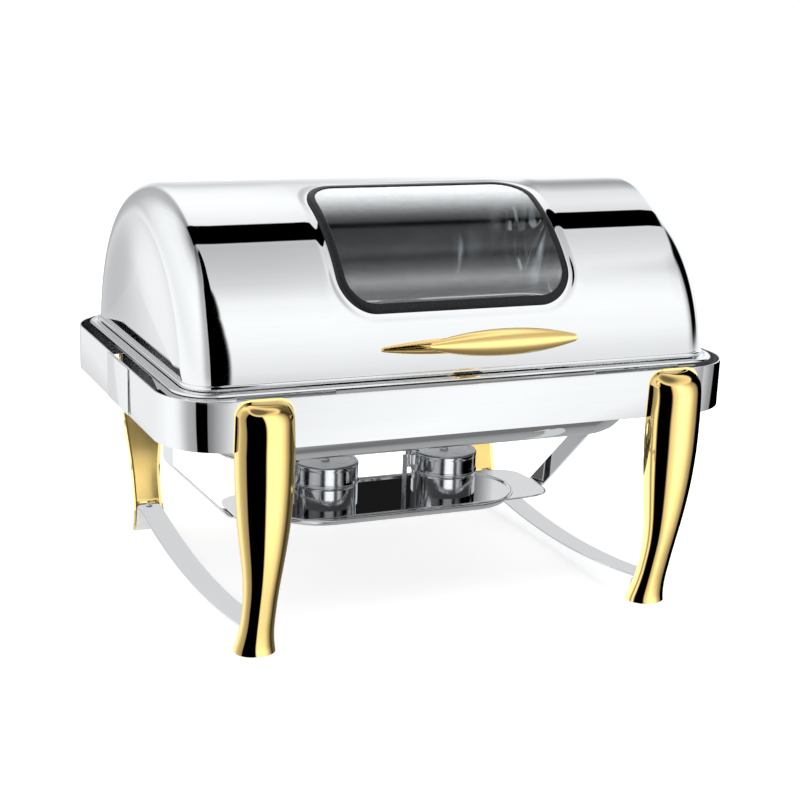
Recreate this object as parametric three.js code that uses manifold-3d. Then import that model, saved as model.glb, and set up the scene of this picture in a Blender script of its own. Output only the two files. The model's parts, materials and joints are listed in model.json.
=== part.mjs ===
// Roll-top chafing dish food warmer: a stand with a skirt band and four cabriole
// legs, a water pan with a food pan in it, two gel fuel burners on a hanging tray,
// and a domed cover with a curved window, hinged along the back edge.
// Millimetres, +Z up, front towards -Y. Origin on the floor, at the centre of the plan.

import * as THREE from 'three';
import { LoftGeometry } from 'three/addons/geometries/LoftGeometry.js';
import { mergeVertices } from 'three/addons/utils/BufferGeometryUtils.js';
import Module from 'manifold-3d';

const wasm = await Module();
wasm.setup();

// ---------------------------------------------------------------- driving dimensions

const GAP = 0.3;                 // clearance between touching pieces

const BAND_LENGTH = 620;         // skirt band, outside
const BAND_WIDTH = 427;
const BAND_CORNER = 65;
const BAND_WALL = 1.5;
const BAND_BOTTOM = 204;
const BAND_TOP = 253;

const FLOOR = -6;                // the feet reach below the working datum
const LEG_X = 222;               // leg centre from the middle of the dish
const LEG_WALL = 1.8;
const LEG_TOP = 252;
const FLANGE_HALF = 30.5;        // half width of the rim that lies on the band
const FLANGE_TOP = 254.5;
const PLATE_BOTTOM = 25.5;         // lower end of the leg's inner plate
const SCREW_Y = 195.2;           // ankle screw, from the middle of the dish

const STRETCHER_WIDTH = 27;
const STRETCHER_THICK = 2;
const STRETCHER_END_Z = 19;      // underside at the ends
const STRETCHER_LOW_Z = 2.5;       // underside in the middle of the sag

const HANGER_WIDTH = 30;
const HANGER_THICK = 2.4;
const HANGER_DROP_X = 254;       // where the strip turns down beside the pan
const HANGER_KNEE_Z = 134;       // where it turns inwards
const TRAY_Z = 73;               // top face of the tray's wings

const RIM_LENGTH = 594;          // water pan, over its rolled rim
const RIM_WIDTH = 396;
const RIM_CORNER = 41;
const SEAT_Z = 256;              // flat on the rim that the cover closes on
const PAN_BOTTOM = 160;

const FOOD_LENGTH = 530;         // full size gastronorm pan
const FOOD_WIDTH = 325;
const FOOD_DEPTH = 65;

const COVER_LENGTH = 570;
const COVER_RADIUS = 187;
const COVER_AXIS_Z = 240;        // height of the centre of the cover's arc
const COVER_BOTTOM = 257;
const COVER_WALL = 1.2;
const COVER_FILLET = 30;         // between the barrel and the end walls

const WINDOW_ANGLE = 52.4;       // middle of the window, up from the front
const WINDOW_HALF_X = 118.5;
const WINDOW_HALF_S = 78;
const WINDOW_CORNER = 29;
const GASKET_WIDTH = 8.5;
const RECESS_MARGIN = 16;        // pressed border, beyond the clear glass
const RECESS_DEPTH = 2;

const HANDLE_ANGLE = 14;
const HANDLE_X = 12;
const HANDLE_LENGTH = 158;
const HANDLE_HALF = 13;
const HANDLE_STANDOFF = 60;      // bar axis from the face of the cover

const HINGE_X = 100;
const HINGE_Y = 207.2;
const HINGE_Z = 261.5;
const HINGE_WIDTH = 50;
const KNUCKLE_R = 4;

const CUP_X = 72;
const CUP_R = 36.4;
const CUP_HEIGHT = 54;
const CUP_WALL = 1.2;
const PIVOT_OUT = 7.5;           // damper pin, from the side of the cup

// ---------------------------------------------------------------- materials

const steel = (name) => new THREE.MeshStandardMaterial({
  name, color: 0xd9dcdf, roughness: 0.08, metalness: 1,
});
const satin = (name) => new THREE.MeshStandardMaterial({
  name, color: 0xb9bdc1, roughness: 0.32, metalness: 1,
});
const gold = (name) => new THREE.MeshStandardMaterial({
  name, color: 0xe3b94a, roughness: 0.12, metalness: 1,
});
const rubber = (name) => new THREE.MeshStandardMaterial({
  name, color: 0x18191b, roughness: 0.55, metalness: 0,
});
const glass = (name) => new THREE.MeshStandardMaterial({
  name, color: 0x8f989c, roughness: 0.03, metalness: 0, transparent: true, opacity: 0.4,
});
const nylon = (name) => new THREE.MeshStandardMaterial({
  name, color: 0xe6e6e2, roughness: 0.6, metalness: 0,
});

// ---------------------------------------------------------------- solid helpers

// Turn a closed geometry into a solid for joining and cutting.
function solid(geometry) {
  const bare = new THREE.BufferGeometry();
  bare.setAttribute('position', geometry.attributes.position.clone());
  if (geometry.index) bare.setIndex(geometry.index.clone());
  const merged = mergeVertices(bare, 1e-4);
  const p = merged.attributes.position.array;
  const index = merged.index.array;
  const tris = [];
  let volume = 0;
  for (let i = 0; i < index.length; i += 3) {
    const [a, b, c] = [index[i], index[i + 1], index[i + 2]];
    if (a === b || b === c || c === a) continue;
    tris.push(a, b, c);
    volume += signedVolume(p, a, b, c);
  }
  if (volume < 0) {
    for (let i = 0; i < tris.length; i += 3) {
      [tris[i], tris[i + 1]] = [tris[i + 1], tris[i]];
    }
  }
  return new wasm.Manifold(new wasm.Mesh({
    numProp: 3,
    vertProperties: new Float32Array(p),
    triVerts: new Uint32Array(tris),
  }));
}

function signedVolume(p, a, b, c) {
  const va = new THREE.Vector3().fromArray(p, 3 * a);
  const vb = new THREE.Vector3().fromArray(p, 3 * b);
  const vc = new THREE.Vector3().fromArray(p, 3 * c);
  return va.dot(vb.cross(vc)) / 6;
}

// Turn a solid back into a faceted geometry.
function faceted(body) {
  const mesh = body.getMesh();
  const stride = mesh.numProp;
  const count = mesh.vertProperties.length / stride;
  const points = new Float32Array(3 * count);
  for (let i = 0; i < count; i++) {
    for (let k = 0; k < 3; k++) points[3 * i + k] = mesh.vertProperties[stride * i + k];
  }
  const geometry = new THREE.BufferGeometry();
  geometry.setAttribute('position', new THREE.BufferAttribute(points, 3));
  geometry.setIndex(new THREE.BufferAttribute(new Uint32Array(mesh.triVerts), 1));
  const flat = geometry.toNonIndexed();
  flat.computeVertexNormals();
  return flat;
}

const join = (...bodies) => bodies.reduce((a, b) => a.add(b));
const cut = (body, ...tools) => tools.reduce((a, b) => a.subtract(b), body);

// One level outline of a rounded rectangle with half sizes hx, hy and corner radius r.
function roundedOutline(hx, hy, r, z, steps = 4) {
  const points = [];
  const centres = [[1, 1], [-1, 1], [-1, -1], [1, -1]];
  centres.forEach(([sx, sy], corner) => {
    for (let i = 0; i <= steps; i++) {
      const t = (corner + i / steps) * Math.PI / 2;
      const x = sx * (hx - r) + r * Math.cos(t);
      const y = sy * (hy - r) + r * Math.sin(t);
      points.push(new THREE.Vector3(x, y, z));
    }
  });
  return points;
}

// Solid skinned through a list of level outlines, closed to the centre at both ends.
function stack(levels, steps) {
  const first = levels[0];
  const last = levels[levels.length - 1];
  const all = [[0, 0, 0, first[3]], ...levels, [0, 0, 0, last[3]]];
  const sections = all.map(([hx, hy, r, z]) => roundedOutline(hx, hy, r, z, steps));
  return solid(new LoftGeometry(sections));
}

// Endless ring whose profile runs through a list of level outlines and back to the first.
function ring(levels, steps) {
  const closed = [...levels, levels[0]];
  const sections = closed.map(([hx, hy, r, z]) => roundedOutline(hx, hy, r, z, steps));
  return solid(new LoftGeometry(sections));
}

function box(x0, x1, y0, y1, z0, z1) {
  const geometry = new THREE.BoxGeometry(x1 - x0, y1 - y0, z1 - z0);
  geometry.translate((x0 + x1) / 2, (y0 + y1) / 2, (z0 + z1) / 2);
  return solid(geometry);
}

// Cylinder from point a to point b.
function rod(a, b, radius, segments = 16) {
  const from = new THREE.Vector3(...a);
  const to = new THREE.Vector3(...b);
  const geometry = new THREE.CylinderGeometry(radius, radius, from.distanceTo(to), segments);
  const along = to.clone().sub(from).normalize();
  const turn = new THREE.Quaternion().setFromUnitVectors(new THREE.Vector3(0, 1, 0), along);
  geometry.applyQuaternion(turn);
  const middle = from.add(to).multiplyScalar(0.5);
  geometry.translate(middle.x, middle.y, middle.z);
  return solid(geometry);
}

// Body of revolution about +Z from [radius, height] pairs that start and end on the axis.
function turned(profile, segments = 28) {
  const points = profile.map(([r, z]) => new THREE.Vector2(r, z));
  const geometry = new THREE.LatheGeometry(points, segments);
  geometry.rotateX(Math.PI / 2);
  return solid(geometry);
}

// Outline in the YZ plane, drawn out along X and centred on x = 0.
function prismX(outline, width) {
  const shape = new THREE.Shape(outline.map(([y, z]) => new THREE.Vector2(y, z)));
  const geometry = new THREE.ExtrudeGeometry(shape, { depth: width, bevelEnabled: false });
  geometry.translate(0, 0, -width / 2);
  geometry.rotateX(Math.PI / 2);
  geometry.rotateZ(Math.PI / 2);
  return solid(geometry);
}

// Outline in the XZ plane, drawn out along Y and centred on y = 0.
function prismY(outline, width) {
  const shape = new THREE.Shape(outline.map(([x, z]) => new THREE.Vector2(x, -z)));
  const geometry = new THREE.ExtrudeGeometry(shape, { depth: width, bevelEnabled: false });
  geometry.translate(0, 0, -width / 2);
  geometry.rotateX(-Math.PI / 2);
  return solid(geometry);
}

// Outline in the XY plane, drawn up from z0 to z1.
function prismZ(outline, z0, z1) {
  const shape = new THREE.Shape(outline.map(([x, y]) => new THREE.Vector2(x, y)));
  const geometry = new THREE.ExtrudeGeometry(shape, { depth: z1 - z0, bevelEnabled: false });
  geometry.translate(0, 0, z0);
  return solid(geometry);
}

// Outline of a strip of constant thickness along a bent line of 2D points.
function stripOutline(points, thickness) {
  const last = points.length - 1;
  const left = [];
  const right = [];
  points.forEach((point, i) => {
    const d0 = direction(points[Math.max(i - 1, 0)], points[Math.max(i, 1)]);
    const d1 = direction(points[Math.min(i, last - 1)], points[Math.min(i + 1, last)]);
    const nx = -(d0[1] + d1[1]) / 2;
    const ny = (d0[0] + d1[0]) / 2;
    const scale = thickness / 2 / (nx * nx + ny * ny);
    left.push([point[0] + nx * scale, point[1] + ny * scale]);
    right.push([point[0] - nx * scale, point[1] - ny * scale]);
  });
  return [...left, ...right.reverse()];
}

function direction(a, b) {
  const length = Math.hypot(b[0] - a[0], b[1] - a[1]);
  return [(b[0] - a[0]) / length, (b[1] - a[1]) / length];
}

// Round the inner corners of a bent line of 2D points.
function rounded(points, radius, steps = 4) {
  const result = [points[0]];
  for (let i = 1; i < points.length - 1; i++) {
    const [p, q, r] = [points[i - 1], points[i], points[i + 1]];
    const a = towards(q, p, radius);
    const b = towards(q, r, radius);
    for (let k = 0; k <= steps; k++) {
      const t = k / steps;
      const u = (1 - t) * (1 - t);
      const v = 2 * t * (1 - t);
      const w = t * t;
      result.push([u * a[0] + v * q[0] + w * b[0], u * a[1] + v * q[1] + w * b[1]]);
    }
  }
  result.push(points[points.length - 1]);
  return result;
}

function towards(from, to, distance) {
  const length = Math.hypot(to[0] - from[0], to[1] - from[1]);
  const t = Math.min(distance / length, 0.49);
  return [from[0] + (to[0] - from[0]) * t, from[1] + (to[1] - from[1]) * t];
}

const dish = new THREE.Group();
dish.name = 'chafing_dish';
dish.position.z = -FLOOR;

// Put a solid into the scene graph as a named mesh.
function place(parent, name, body, material, position = [0, 0, 0]) {
  const mesh = new THREE.Mesh(faceted(body), material);
  mesh.name = name;
  mesh.position.set(...position);
  parent.add(mesh);
  return mesh;
}

function subgroup(parent, position, turn = 0) {
  const group = new THREE.Group();
  group.position.set(...position);
  group.rotation.z = turn;
  parent.add(group);
  return group;
}

// ---------------------------------------------------------------- skirt band

function bandSolid() {
  const hx = BAND_LENGTH / 2;
  const hy = BAND_WIDTH / 2;
  const inner = BAND_CORNER - BAND_WALL;
  const body = ring([
    [hx, hy, BAND_CORNER, BAND_BOTTOM],
    [hx, hy, BAND_CORNER, BAND_TOP],
    [hx - BAND_WALL, hy - BAND_WALL, inner, BAND_TOP],
    [hx - BAND_WALL, hy - BAND_WALL, inner, BAND_BOTTOM],
  ], 9);
  const holes = [];
  for (const sx of [-1, 1]) {
    for (const sy of [-1, 1]) {
      holes.push(rod([sx * LEG_X, sy * (hy - 6), 228], [sx * LEG_X, sy * (hy + 3), 228], 2.9, 12));
    }
  }
  return cut(body, ...holes);
}

// Lap plate that closes the band's seam on the left end.
function jointPlateSolid() {
  const x = -BAND_LENGTH / 2 - GAP;
  return box(x - 1.2, x, -58, 24, BAND_BOTTOM + 0.8, BAND_TOP - 0.8);
}

// ---------------------------------------------------------------- legs

// Half width, outer face and inner face of a leg, against height.
const LEG_LEVELS = [
  { z: FLOOR - 1, a: 21.6, out: 211.6, back: 188 },
  { z: FLOOR + 5, a: 20.6, out: 210.8, back: 189.4 },
  { z: 8, a: 18.9, out: 212, back: 192.6 },
  { z: 20, a: 17.5, out: 214.6, back: 196.6 },
  { z: 34, a: 16.9, out: 218.4, back: 201.4 },
  { z: 50, a: 17, out: 222.8, back: 205.8 },
  { z: 68, a: 17.9, out: 227.8, back: 209.4 },
  { z: 90, a: 20.3, out: 233, back: 212 },
  { z: 115, a: 23.6, out: 237.4, back: 213.2 },
  { z: 145, a: 26.8, out: 241, back: 213.8 },
  { z: 180, a: 28.8, out: 243, back: 213.8 },
  { z: BAND_BOTTOM, a: 29.2, out: 243, back: 213.8 },
  { z: 225, a: 28, out: 241.8, back: 213.8 },
  { z: 240, a: 26.2, out: 239, back: 213.8 },
  { z: 248, a: 23, out: 233, back: 213.8 },
  { z: LEG_TOP, a: 14, out: 222, back: 213.8 },
];

function legLevel(z) {
  const top = LEG_LEVELS.length - 1;
  let i = 0;
  while (i < top - 1 && LEG_LEVELS[i + 1].z < z) i++;
  const [p, q] = [LEG_LEVELS[i], LEG_LEVELS[i + 1]];
  const t = Math.min(Math.max((z - p.z) / (q.z - p.z), 0), 1);
  return {
    a: p.a + (q.a - p.a) * t,
    out: p.out + (q.out - p.out) * t,
    back: p.back + (q.back - p.back) * t,
  };
}

// D-shaped section of a front leg: the bowed face looks towards -Y.
function legSection(a, out, back, z, count = 9) {
  const points = [];
  for (let i = 0; i <= count; i++) {
    const t = Math.PI * i / count;
    const c = Math.cos(t);
    const s = Math.max(Math.sin(t), 0);
    const x = -a * Math.sign(c) * Math.abs(c) ** 0.8;
    const y = -(back + (out - back) * s ** 0.85);
    points.push(new THREE.Vector3(x, y, z));
  }
  return points;
}

function legOuter() {
  const sections = LEG_LEVELS.map((l) => legSection(l.a, l.out, l.back, l.z));
  return solid(new LoftGeometry(sections, { capStart: true, capEnd: true }));
}

function legHollow() {
  const levels = LEG_LEVELS.filter((l) => l.z < LEG_TOP - 3);
  const sections = levels.map(({ a, out, back, z }) => {
    const drop = z > BAND_BOTTOM ? 3 : 0;
    return legSection(a - LEG_WALL, out - LEG_WALL, back - 6, z - drop);
  });
  const first = sections[0].map((p) => new THREE.Vector3(p.x, p.y, FLOOR - 4));
  return solid(new LoftGeometry([first, ...sections], { capStart: true, capEnd: true }));
}

// Arched rim that lies against the band around the top of the leg.
function legFlange() {
  const outline = [[-FLANGE_HALF, BAND_BOTTOM]];
  const r = 15;
  const right = [];
  for (let i = 0; i <= 6; i++) {
    const t = Math.PI / 2 * i / 6;
    const x = FLANGE_HALF - 1 - r + r * Math.cos(t);
    const z = FLANGE_TOP - r + r * Math.sin(t);
    right.push([x, z]);
  }
  outline.push([FLANGE_HALF, BAND_BOTTOM], ...right);
  outline.push(...right.slice().reverse().map(([x, z]) => [-x, z]));
  const body = prismY(outline, 1.6);
  return body.translate([0, -(BAND_WIDTH / 2 + GAP + 0.8), 0]);
}

function legShellSolid() {
  const shell = cut(join(legOuter(), legFlange()), legHollow());
  const floor = box(-40, 40, -260, -150, FLOOR - 10, FLOOR + 0.8);
  return cut(shell, floor);
}

// Flat closer on the inner side; it follows the leg's sweep and narrows with it.
function legPlateSolid() {
  const heights = [PLATE_BOTTOM, 34, 42, 50, 59, 68, 79, 90, 102, 115, 145, 236];
  const sections = heights.map((z) => {
    const { a, back } = legLevel(z);
    const half = (z > 210 ? 0.86 : 0.94) * (a - LEG_WALL) - 0.8;
    const y0 = -(back + 0.5);
    const y1 = y0 - 1.5;
    return [[half, y1], [half, y0], [-half, y0], [-half, y1]].map(
      ([x, y]) => new THREE.Vector3(x, y, z),
    );
  });
  const plate = solid(new LoftGeometry(sections, { capStart: true, capEnd: true }));
  return cut(plate, rod([0, -205, 228], [0, -222, 228], 2.9, 12));
}

// Nylon block in the foot: the leg stands on it and the stretcher lies on it.
function footBlockSolid() {
  const top = STRETCHER_END_Z - GAP;
  const heights = [FLOOR, FLOOR + 5, 8, top];
  const sections = heights.map((z) => {
    const { a, out, back } = legLevel(z);
    return legSection(a - LEG_WALL - 0.9, out - LEG_WALL - 0.9, back - 6, z);
  });
  const block = solid(new LoftGeometry(sections, { capStart: true, capEnd: true }));
  const behind = box(-40, 40, -188.5, -150, -20, 60);
  return cut(block, behind, rod([0, -SCREW_Y, 6], [0, -SCREW_Y, 30], 2.2, 12));
}

// Pan-head screw down through the stretcher's end into the foot block.
function ankleScrewSolid() {
  const top = STRETCHER_END_Z + STRETCHER_THICK + GAP;
  return turned([[0, 8], [1.9, 8], [1.9, top], [4, top], [4, top + 1.4], [2.6, top + 2.4], [0, top + 2.4]], 12)
    .translate([0, -SCREW_Y, 0]);
}

// Bolt that holds the leg plate, the band and the pan bracket together.
function legBoltSolid() {
  const inner = -(BAND_WIDTH / 2 - BAND_WALL - 2 * GAP - 1.5);
  const outer = -(BAND_WIDTH / 2 + 0.8 + 1.5 + GAP);
  const shank = rod([0, inner, 228], [0, outer - 4, 228], 2.5, 12);
  const head = rod([0, inner + 2.6, 228], [0, inner + GAP, 228], 4.6, 12);
  const nut = rod([0, outer - GAP, 228], [0, outer - 3.6, 228], 4.4, 6);
  return join(shank, rod([0, inner, 228], [0, inner + 1, 228], 2.5, 12), head, nut);
}

function buildLegs() {
  const shell = legShellSolid();
  const plate = legPlateSolid();
  const block = footBlockSolid();
  const screw = ankleScrewSolid();
  const bolt = legBoltSolid();
  const corners = [
    ['front_left', -1, 0], ['front_right', 1, 0],
    ['rear_left', -1, Math.PI], ['rear_right', 1, Math.PI],
  ];
  for (const [name, side, turn] of corners) {
    const leg = subgroup(dish, [side * LEG_X, 0, 0], turn);
    place(leg, `leg_shell_${name}`, shell, gold('gold_plate'));
    place(leg, `leg_plate_${name}`, plate, gold('gold_plate'));
    place(leg, `foot_block_${name}`, block, nylon('white_nylon'));
    place(leg, `ankle_screw_${name}`, screw, satin('zinc_screw'));
    place(leg, `leg_bolt_${name}`, bolt, satin('zinc_screw'));
  }
}

// ---------------------------------------------------------------- stretchers and hangers

// Side stretcher: a ribbon from the front foot to the rear foot that sags to the middle.
function stretcherSolid() {
  const reach = 187;
  const line = [[-200, STRETCHER_END_Z + 1]];
  const steps = 18;
  for (let i = 0; i <= steps; i++) {
    const y = -reach + 2 * reach * i / steps;
    const rise = STRETCHER_END_Z - STRETCHER_LOW_Z;
    line.push([y, STRETCHER_LOW_Z + 1 + rise * (y / reach) ** 2]);
  }
  line.push([200, STRETCHER_END_Z + 1]);
  const ribbon = prismX(stripOutline(line, STRETCHER_THICK), STRETCHER_WIDTH);
  const holes = [-1, 1].map((s) => rod([0, SCREW_Y * s, 5], [0, SCREW_Y * s, 40], 2.3, 12));
  return cut(ribbon, ...holes);
}

// Tray hanger for the right end: spot-welded inside the band, in under the rim, down
// beside the pan, then in at 45 degrees to a short flat under the tray's wing.
function hangerSolid() {
  const wall = BAND_LENGTH / 2 - BAND_WALL - GAP - HANGER_THICK / 2;
  const rest = TRAY_Z - 1.5 - GAP - HANGER_THICK / 2;
  const knee = HANGER_KNEE_Z;
  const run = knee - rest;
  const line = rounded([
    [wall, 247],
    [wall, 209],
    [HANGER_DROP_X, 209],
    [HANGER_DROP_X, knee],
    [HANGER_DROP_X - run, rest],
    [HANGER_DROP_X - run - 26, rest],
  ], 5, 3);
  return prismY(stripOutline(line, HANGER_THICK), HANGER_WIDTH);
}

// ---------------------------------------------------------------- pan brackets

// Angle that is bolted inside the band beside a leg and carries the pan's rim.
function bracketSolid() {
  const face = -(BAND_WIDTH / 2 - BAND_WALL - GAP);
  const shelf = 248.6;
  const profile = [
    [face, 216], [face, shelf], [face + 20, shelf], [face + 20, shelf - 1.5],
    [face + 1.5, shelf - 1.5], [face + 1.5, 216],
  ];
  const angle = prismX(profile, 100);
  const slots = [-12, 0].map((x) => box(x - 3, x + 3, face + 6, face + 12, 240, 255));
  const hole = rod([30, face - 5, 228], [30, face + 5, 228], 2.9, 12);
  return cut(angle, ...slots, hole);
}

function buildBrackets() {
  const body = bracketSolid();
  const mirror = body.mirror([1, 0, 0]);
  const offset = LEG_X - 30;
  const corners = [
    ['front_left', -1, 0, mirror], ['front_right', 1, 0, body],
    ['rear_left', -1, Math.PI, body], ['rear_right', 1, Math.PI, mirror],
  ];
  for (const [name, side, turn, shape] of corners) {
    const group = subgroup(dish, [side * offset, 0, 0], turn);
    place(group, `pan_bracket_${name}`, shape, satin('satin_steel'));
  }
}

// ---------------------------------------------------------------- pans

function waterPanSolid() {
  const hx = RIM_LENGTH / 2;
  const hy = RIM_WIDTH / 2;
  const c = RIM_CORNER;
  const floor = PAN_BOTTOM + 1.2;
  return stack([
    [206, 110, 36, floor],
    [222, 126, 48, floor + 3.4],
    [233, 137, 55, floor + 13],
    [238, 142, 57, floor + 28],
    [247.5, 147.5, 58, 212],
    [255.6, 153.4, 52, 247],
    [256.6, 154.4, 51, 251],
    [258.5, 156.3, 50, 252.6],
    [276, 174, 46, 252.6],
    [279, 178, 44, SEAT_Z],
    [hx - 7.5, hy - 7.5, c, SEAT_Z],
    [hx - 6, hy - 6, c, SEAT_Z - 1],
    [hx - 4.5, hy - 4.5, c, SEAT_Z + 0.6],
    [hx - 2, hy - 2, c, SEAT_Z + 0.4],
    [hx, hy, c, SEAT_Z - 2],
    [hx, hy, c, SEAT_Z - 4.6],
    [hx - 2.4, hy - 2.4, c, 249],
    [hx - 5.4, hy - 5.4, c, 249.4],
    [hx - 6.4, hy - 6.4, c, SEAT_Z - 3],
    [hx - 9, hy - 9, c, SEAT_Z - 1.4],
    [280.6, 179.6, 44, SEAT_Z - 1.4],
    [277.4, 175.4, 46, 251.2],
    [259.6, 157.4, 51, 251.3],
    [257, 154.8, 53, 246.8],
    [248.8, 148.8, 58, 212],
    [239.3, 143.3, 57, floor + 28],
    [234.2, 138.2, 55, floor + 12.6],
    [222.8, 126.8, 48, PAN_BOTTOM + 3.4],
    [206, 110, 36, PAN_BOTTOM],
  ]);
}

function foodPanSolid() {
  const hx = FOOD_LENGTH / 2;
  const hy = FOOD_WIDTH / 2;
  const under = 252.9;
  const top = under + 1.2;
  const floor = top - FOOD_DEPTH;
  return stack([
    [222, 120, 28, floor + 1],
    [234, 131.5, 38, floor + 4],
    [238.5, 136, 42, floor + 12],
    [249.5, 147, 44, top - 5],
    [252.5, 150, 44, top],
    [hx - 3, hy - 3, 20, top + 1],
    [hx, hy, 20, top],
    [hx, hy, 20, under],
    [hx - 2.5, hy - 2.5, 20, under],
    [254, 151, 43, under],
    [250.7, 148.2, 44, top - 6],
    [239.7, 137.2, 42, floor + 11.6],
    [235, 132.5, 38, floor + 3],
    [222, 120, 28, floor],
  ]);
}

// Soft stop on the front of the rim, just ahead of the cover's hem.
function bumperSolid() {
  const y = -(RIM_WIDTH / 2 - 6.6);
  return box(-14, 14, y - 1.6, y + 1.6, SEAT_Z + 0.6 + GAP, SEAT_Z + 3);
}

// ---------------------------------------------------------------- burner tray and burners

function trayOutline() {
  const wing = [[186, 0], [186, 18], [184.6, 34], [176, 47], [160, 53], [130, 55]];
  const right = [...wing.slice().reverse().map(([x, y]) => [x, -y]), ...wing.slice(1)];
  const left = right.map(([x, y]) => [-x, -y]);
  return [...right, ...left];
}

function traySolid() {
  const wings = prismZ(trayOutline(), TRAY_Z - 1.5, TRAY_Z);
  const bowl = stack([
    [140, 56, 55.9, TRAY_Z - 8],
    [145, 61, 60.9, TRAY_Z - 6],
    [148, 64, 63.9, TRAY_Z - 1],
    [150.6, 66.6, 66.5, TRAY_Z - 1.2],
    [151, 67, 66.9, TRAY_Z + 0.6],
    [149.6, 65.6, 65.5, TRAY_Z + 1.8],
    [147.6, 63.6, 63.5, TRAY_Z + 1.4],
  ], 6);
  const hollow = stack([
    [138.6, 54.6, 54.5, TRAY_Z - 6.8],
    [143.6, 59.6, 59.5, TRAY_Z - 5],
    [146.4, 62.4, 62.3, TRAY_Z + 0.4],
    [146.8, 62.8, 62.7, TRAY_Z + 12],
  ], 6);
  return cut(join(wings, bowl), hollow);
}

// Cup with a bead line and an inturned lip; a barrel for the damper's pin stands off
// its left side, with a strip handle running down from it.
function cupSolid() {
  const h = CUP_HEIGHT;
  const r = CUP_R;
  const w = CUP_WALL;
  const body = turned([
    [0, 0], [r - 2, 0], [r - 0.4, 1.6], [r - 0.4, h * 0.56], [r + 0.9, h * 0.59],
    [r + 0.9, h * 0.62], [r - 0.4, h * 0.65], [r - 0.4, h - 2.4], [r, h - 2.4], [r, h],
    [r - 4.4, h], [r - 4.4, h - w], [r - w - 0.4, h - w], [r - w - 0.4, w], [0, w],
  ], 26);
  const pivot = -r - PIVOT_OUT;
  const barrel = join(
    box(pivot, -r + 0.9, -1.5, 1.5, h - 14, h - 3),
    rod([pivot, 0, h - 14], [pivot, 0, h - 1], 3.9, 12),
  );
  const handle = join(
    box(pivot - 4.8, pivot - 3.4, -5, 5, 1.2, h - 3),
    box(pivot - 4.8, -r + 1, -5, 5, 1.2, 2.6),
  );
  return cut(join(body, barrel, handle), rod([pivot, 0, h - 20], [pivot, 0, h + 5], 2.3, 12));
}

// Gel fuel can that stands in the cup, open at the top.
function canSolid() {
  const r = CUP_R - CUP_WALL - 1;
  const h = CUP_HEIGHT - 5;
  return turned([
    [0, CUP_WALL + GAP], [r - 0.6, CUP_WALL + GAP], [r - 0.6, h - 2], [r, h - 1], [r - 0.6, h],
    [r - 6, h], [r - 6, h - 3], [0, h - 3],
  ], 24);
}

// Round damper with an ear around the pin and a low finger knob.
function damperSolid() {
  const z = CUP_HEIGHT + GAP;
  const r = CUP_R;
  const pivot = -r - PIVOT_OUT;
  const disc = turned([
    [0, z], [r - 1.4, z], [r - 1, z + 0.6], [r - 1.4, z + 1.2], [r - 6, z + 1.2],
    [r - 7.4, z + 0.7], [5, z + 0.7], [5, z + 2.2], [3.4, z + 3.2], [0, z + 3.2],
  ], 26);
  const ear = join(
    box(pivot, -r + 5, -3.4, 3.4, z, z + 1.2),
    rod([pivot, 0, z], [pivot, 0, z + 1.2], 3.9, 12),
  );
  return cut(join(disc, ear), rod([pivot, 0, z - 4], [pivot, 0, z + 8], 2.3, 12));
}

function damperPinSolid() {
  const top = CUP_HEIGHT + 2 * GAP + 1.2;
  const low = CUP_HEIGHT - 14 - GAP;
  return turned([
    [0, low - 1.6], [2.9, low - 1.6], [2.9, low], [1.9, low], [1.9, top],
    [3.4, top], [3, top + 1.2], [0, top + 1.6],
  ], 12).translate([-CUP_R - PIVOT_OUT, 0, 0]);
}

function buildBurners() {
  const tray = traySolid();
  place(dish, 'burner_tray', tray, steel('polished_steel'));
  const floor = TRAY_Z - 6.8 + GAP;
  for (const [name, side] of [['left', -1], ['right', 1]]) {
    const unit = subgroup(dish, [side * CUP_X - 3, 0, floor]);
    place(unit, `fuel_holder_${name}`, cupSolid(), steel('polished_steel'));
    place(unit, `fuel_can_${name}`, canSolid(), satin('tin_can'));
    place(unit, `damper_lid_${name}`, damperSolid(), satin('satin_steel'));
    place(unit, `damper_pin_${name}`, damperPinSolid(), steel('polished_steel'));
  }
}

// ---------------------------------------------------------------- cover

const RAD = Math.PI / 180;

// Angles of the cover's arc, from the front bottom edge over to the back one.
function arcAngles() {
  const low = Math.asin((COVER_BOTTOM - COVER_AXIS_Z) / COVER_RADIUS) / RAD;
  const steps = 36;
  const angles = [];
  for (let i = 0; i <= steps; i++) angles.push(low + (180 - 2 * low) * i / steps);
  return angles;
}

// Point on an arc about the cover's axis; 0 degrees looks to the front.
function onArc(radius, degrees) {
  const t = degrees * RAD;
  return [-radius * Math.cos(t), COVER_AXIS_Z + radius * Math.sin(t)];
}

// Barrel vault with filleted end walls, open or closed by a flat bottom at height z.
function vault(radius, half, fillet, bottom) {
  const stations = [];
  const steps = 5;
  for (let i = 0; i <= steps; i++) {
    const t = i / steps * Math.PI / 2;
    stations.push([half - fillet + fillet * Math.cos(t), radius - fillet + fillet * Math.sin(t)]);
  }
  const all = [
    ...stations.map(([x, r]) => [-x, r]),
    ...stations.slice().reverse(),
  ];
  const angles = arcAngles();
  const sections = all.map(([x, r]) => {
    const points = angles.map((deg) => {
      const [y, z] = onArc(r, deg);
      return new THREE.Vector3(x, y, z);
    });
    const [y0] = onArc(r, angles[0]);
    points[0].z = Math.max(points[0].z, bottom);
    points[points.length - 1].z = points[0].z;
    points.push(new THREE.Vector3(x, -y0, bottom - 4));
    points.push(new THREE.Vector3(x, y0, bottom - 4));
    return points.reverse();
  });
  const body = solid(new LoftGeometry(sections, { capStart: true, capEnd: true }));
  return cut(body, box(-400, 400, -300, 300, bottom - 60, bottom));
}

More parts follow.
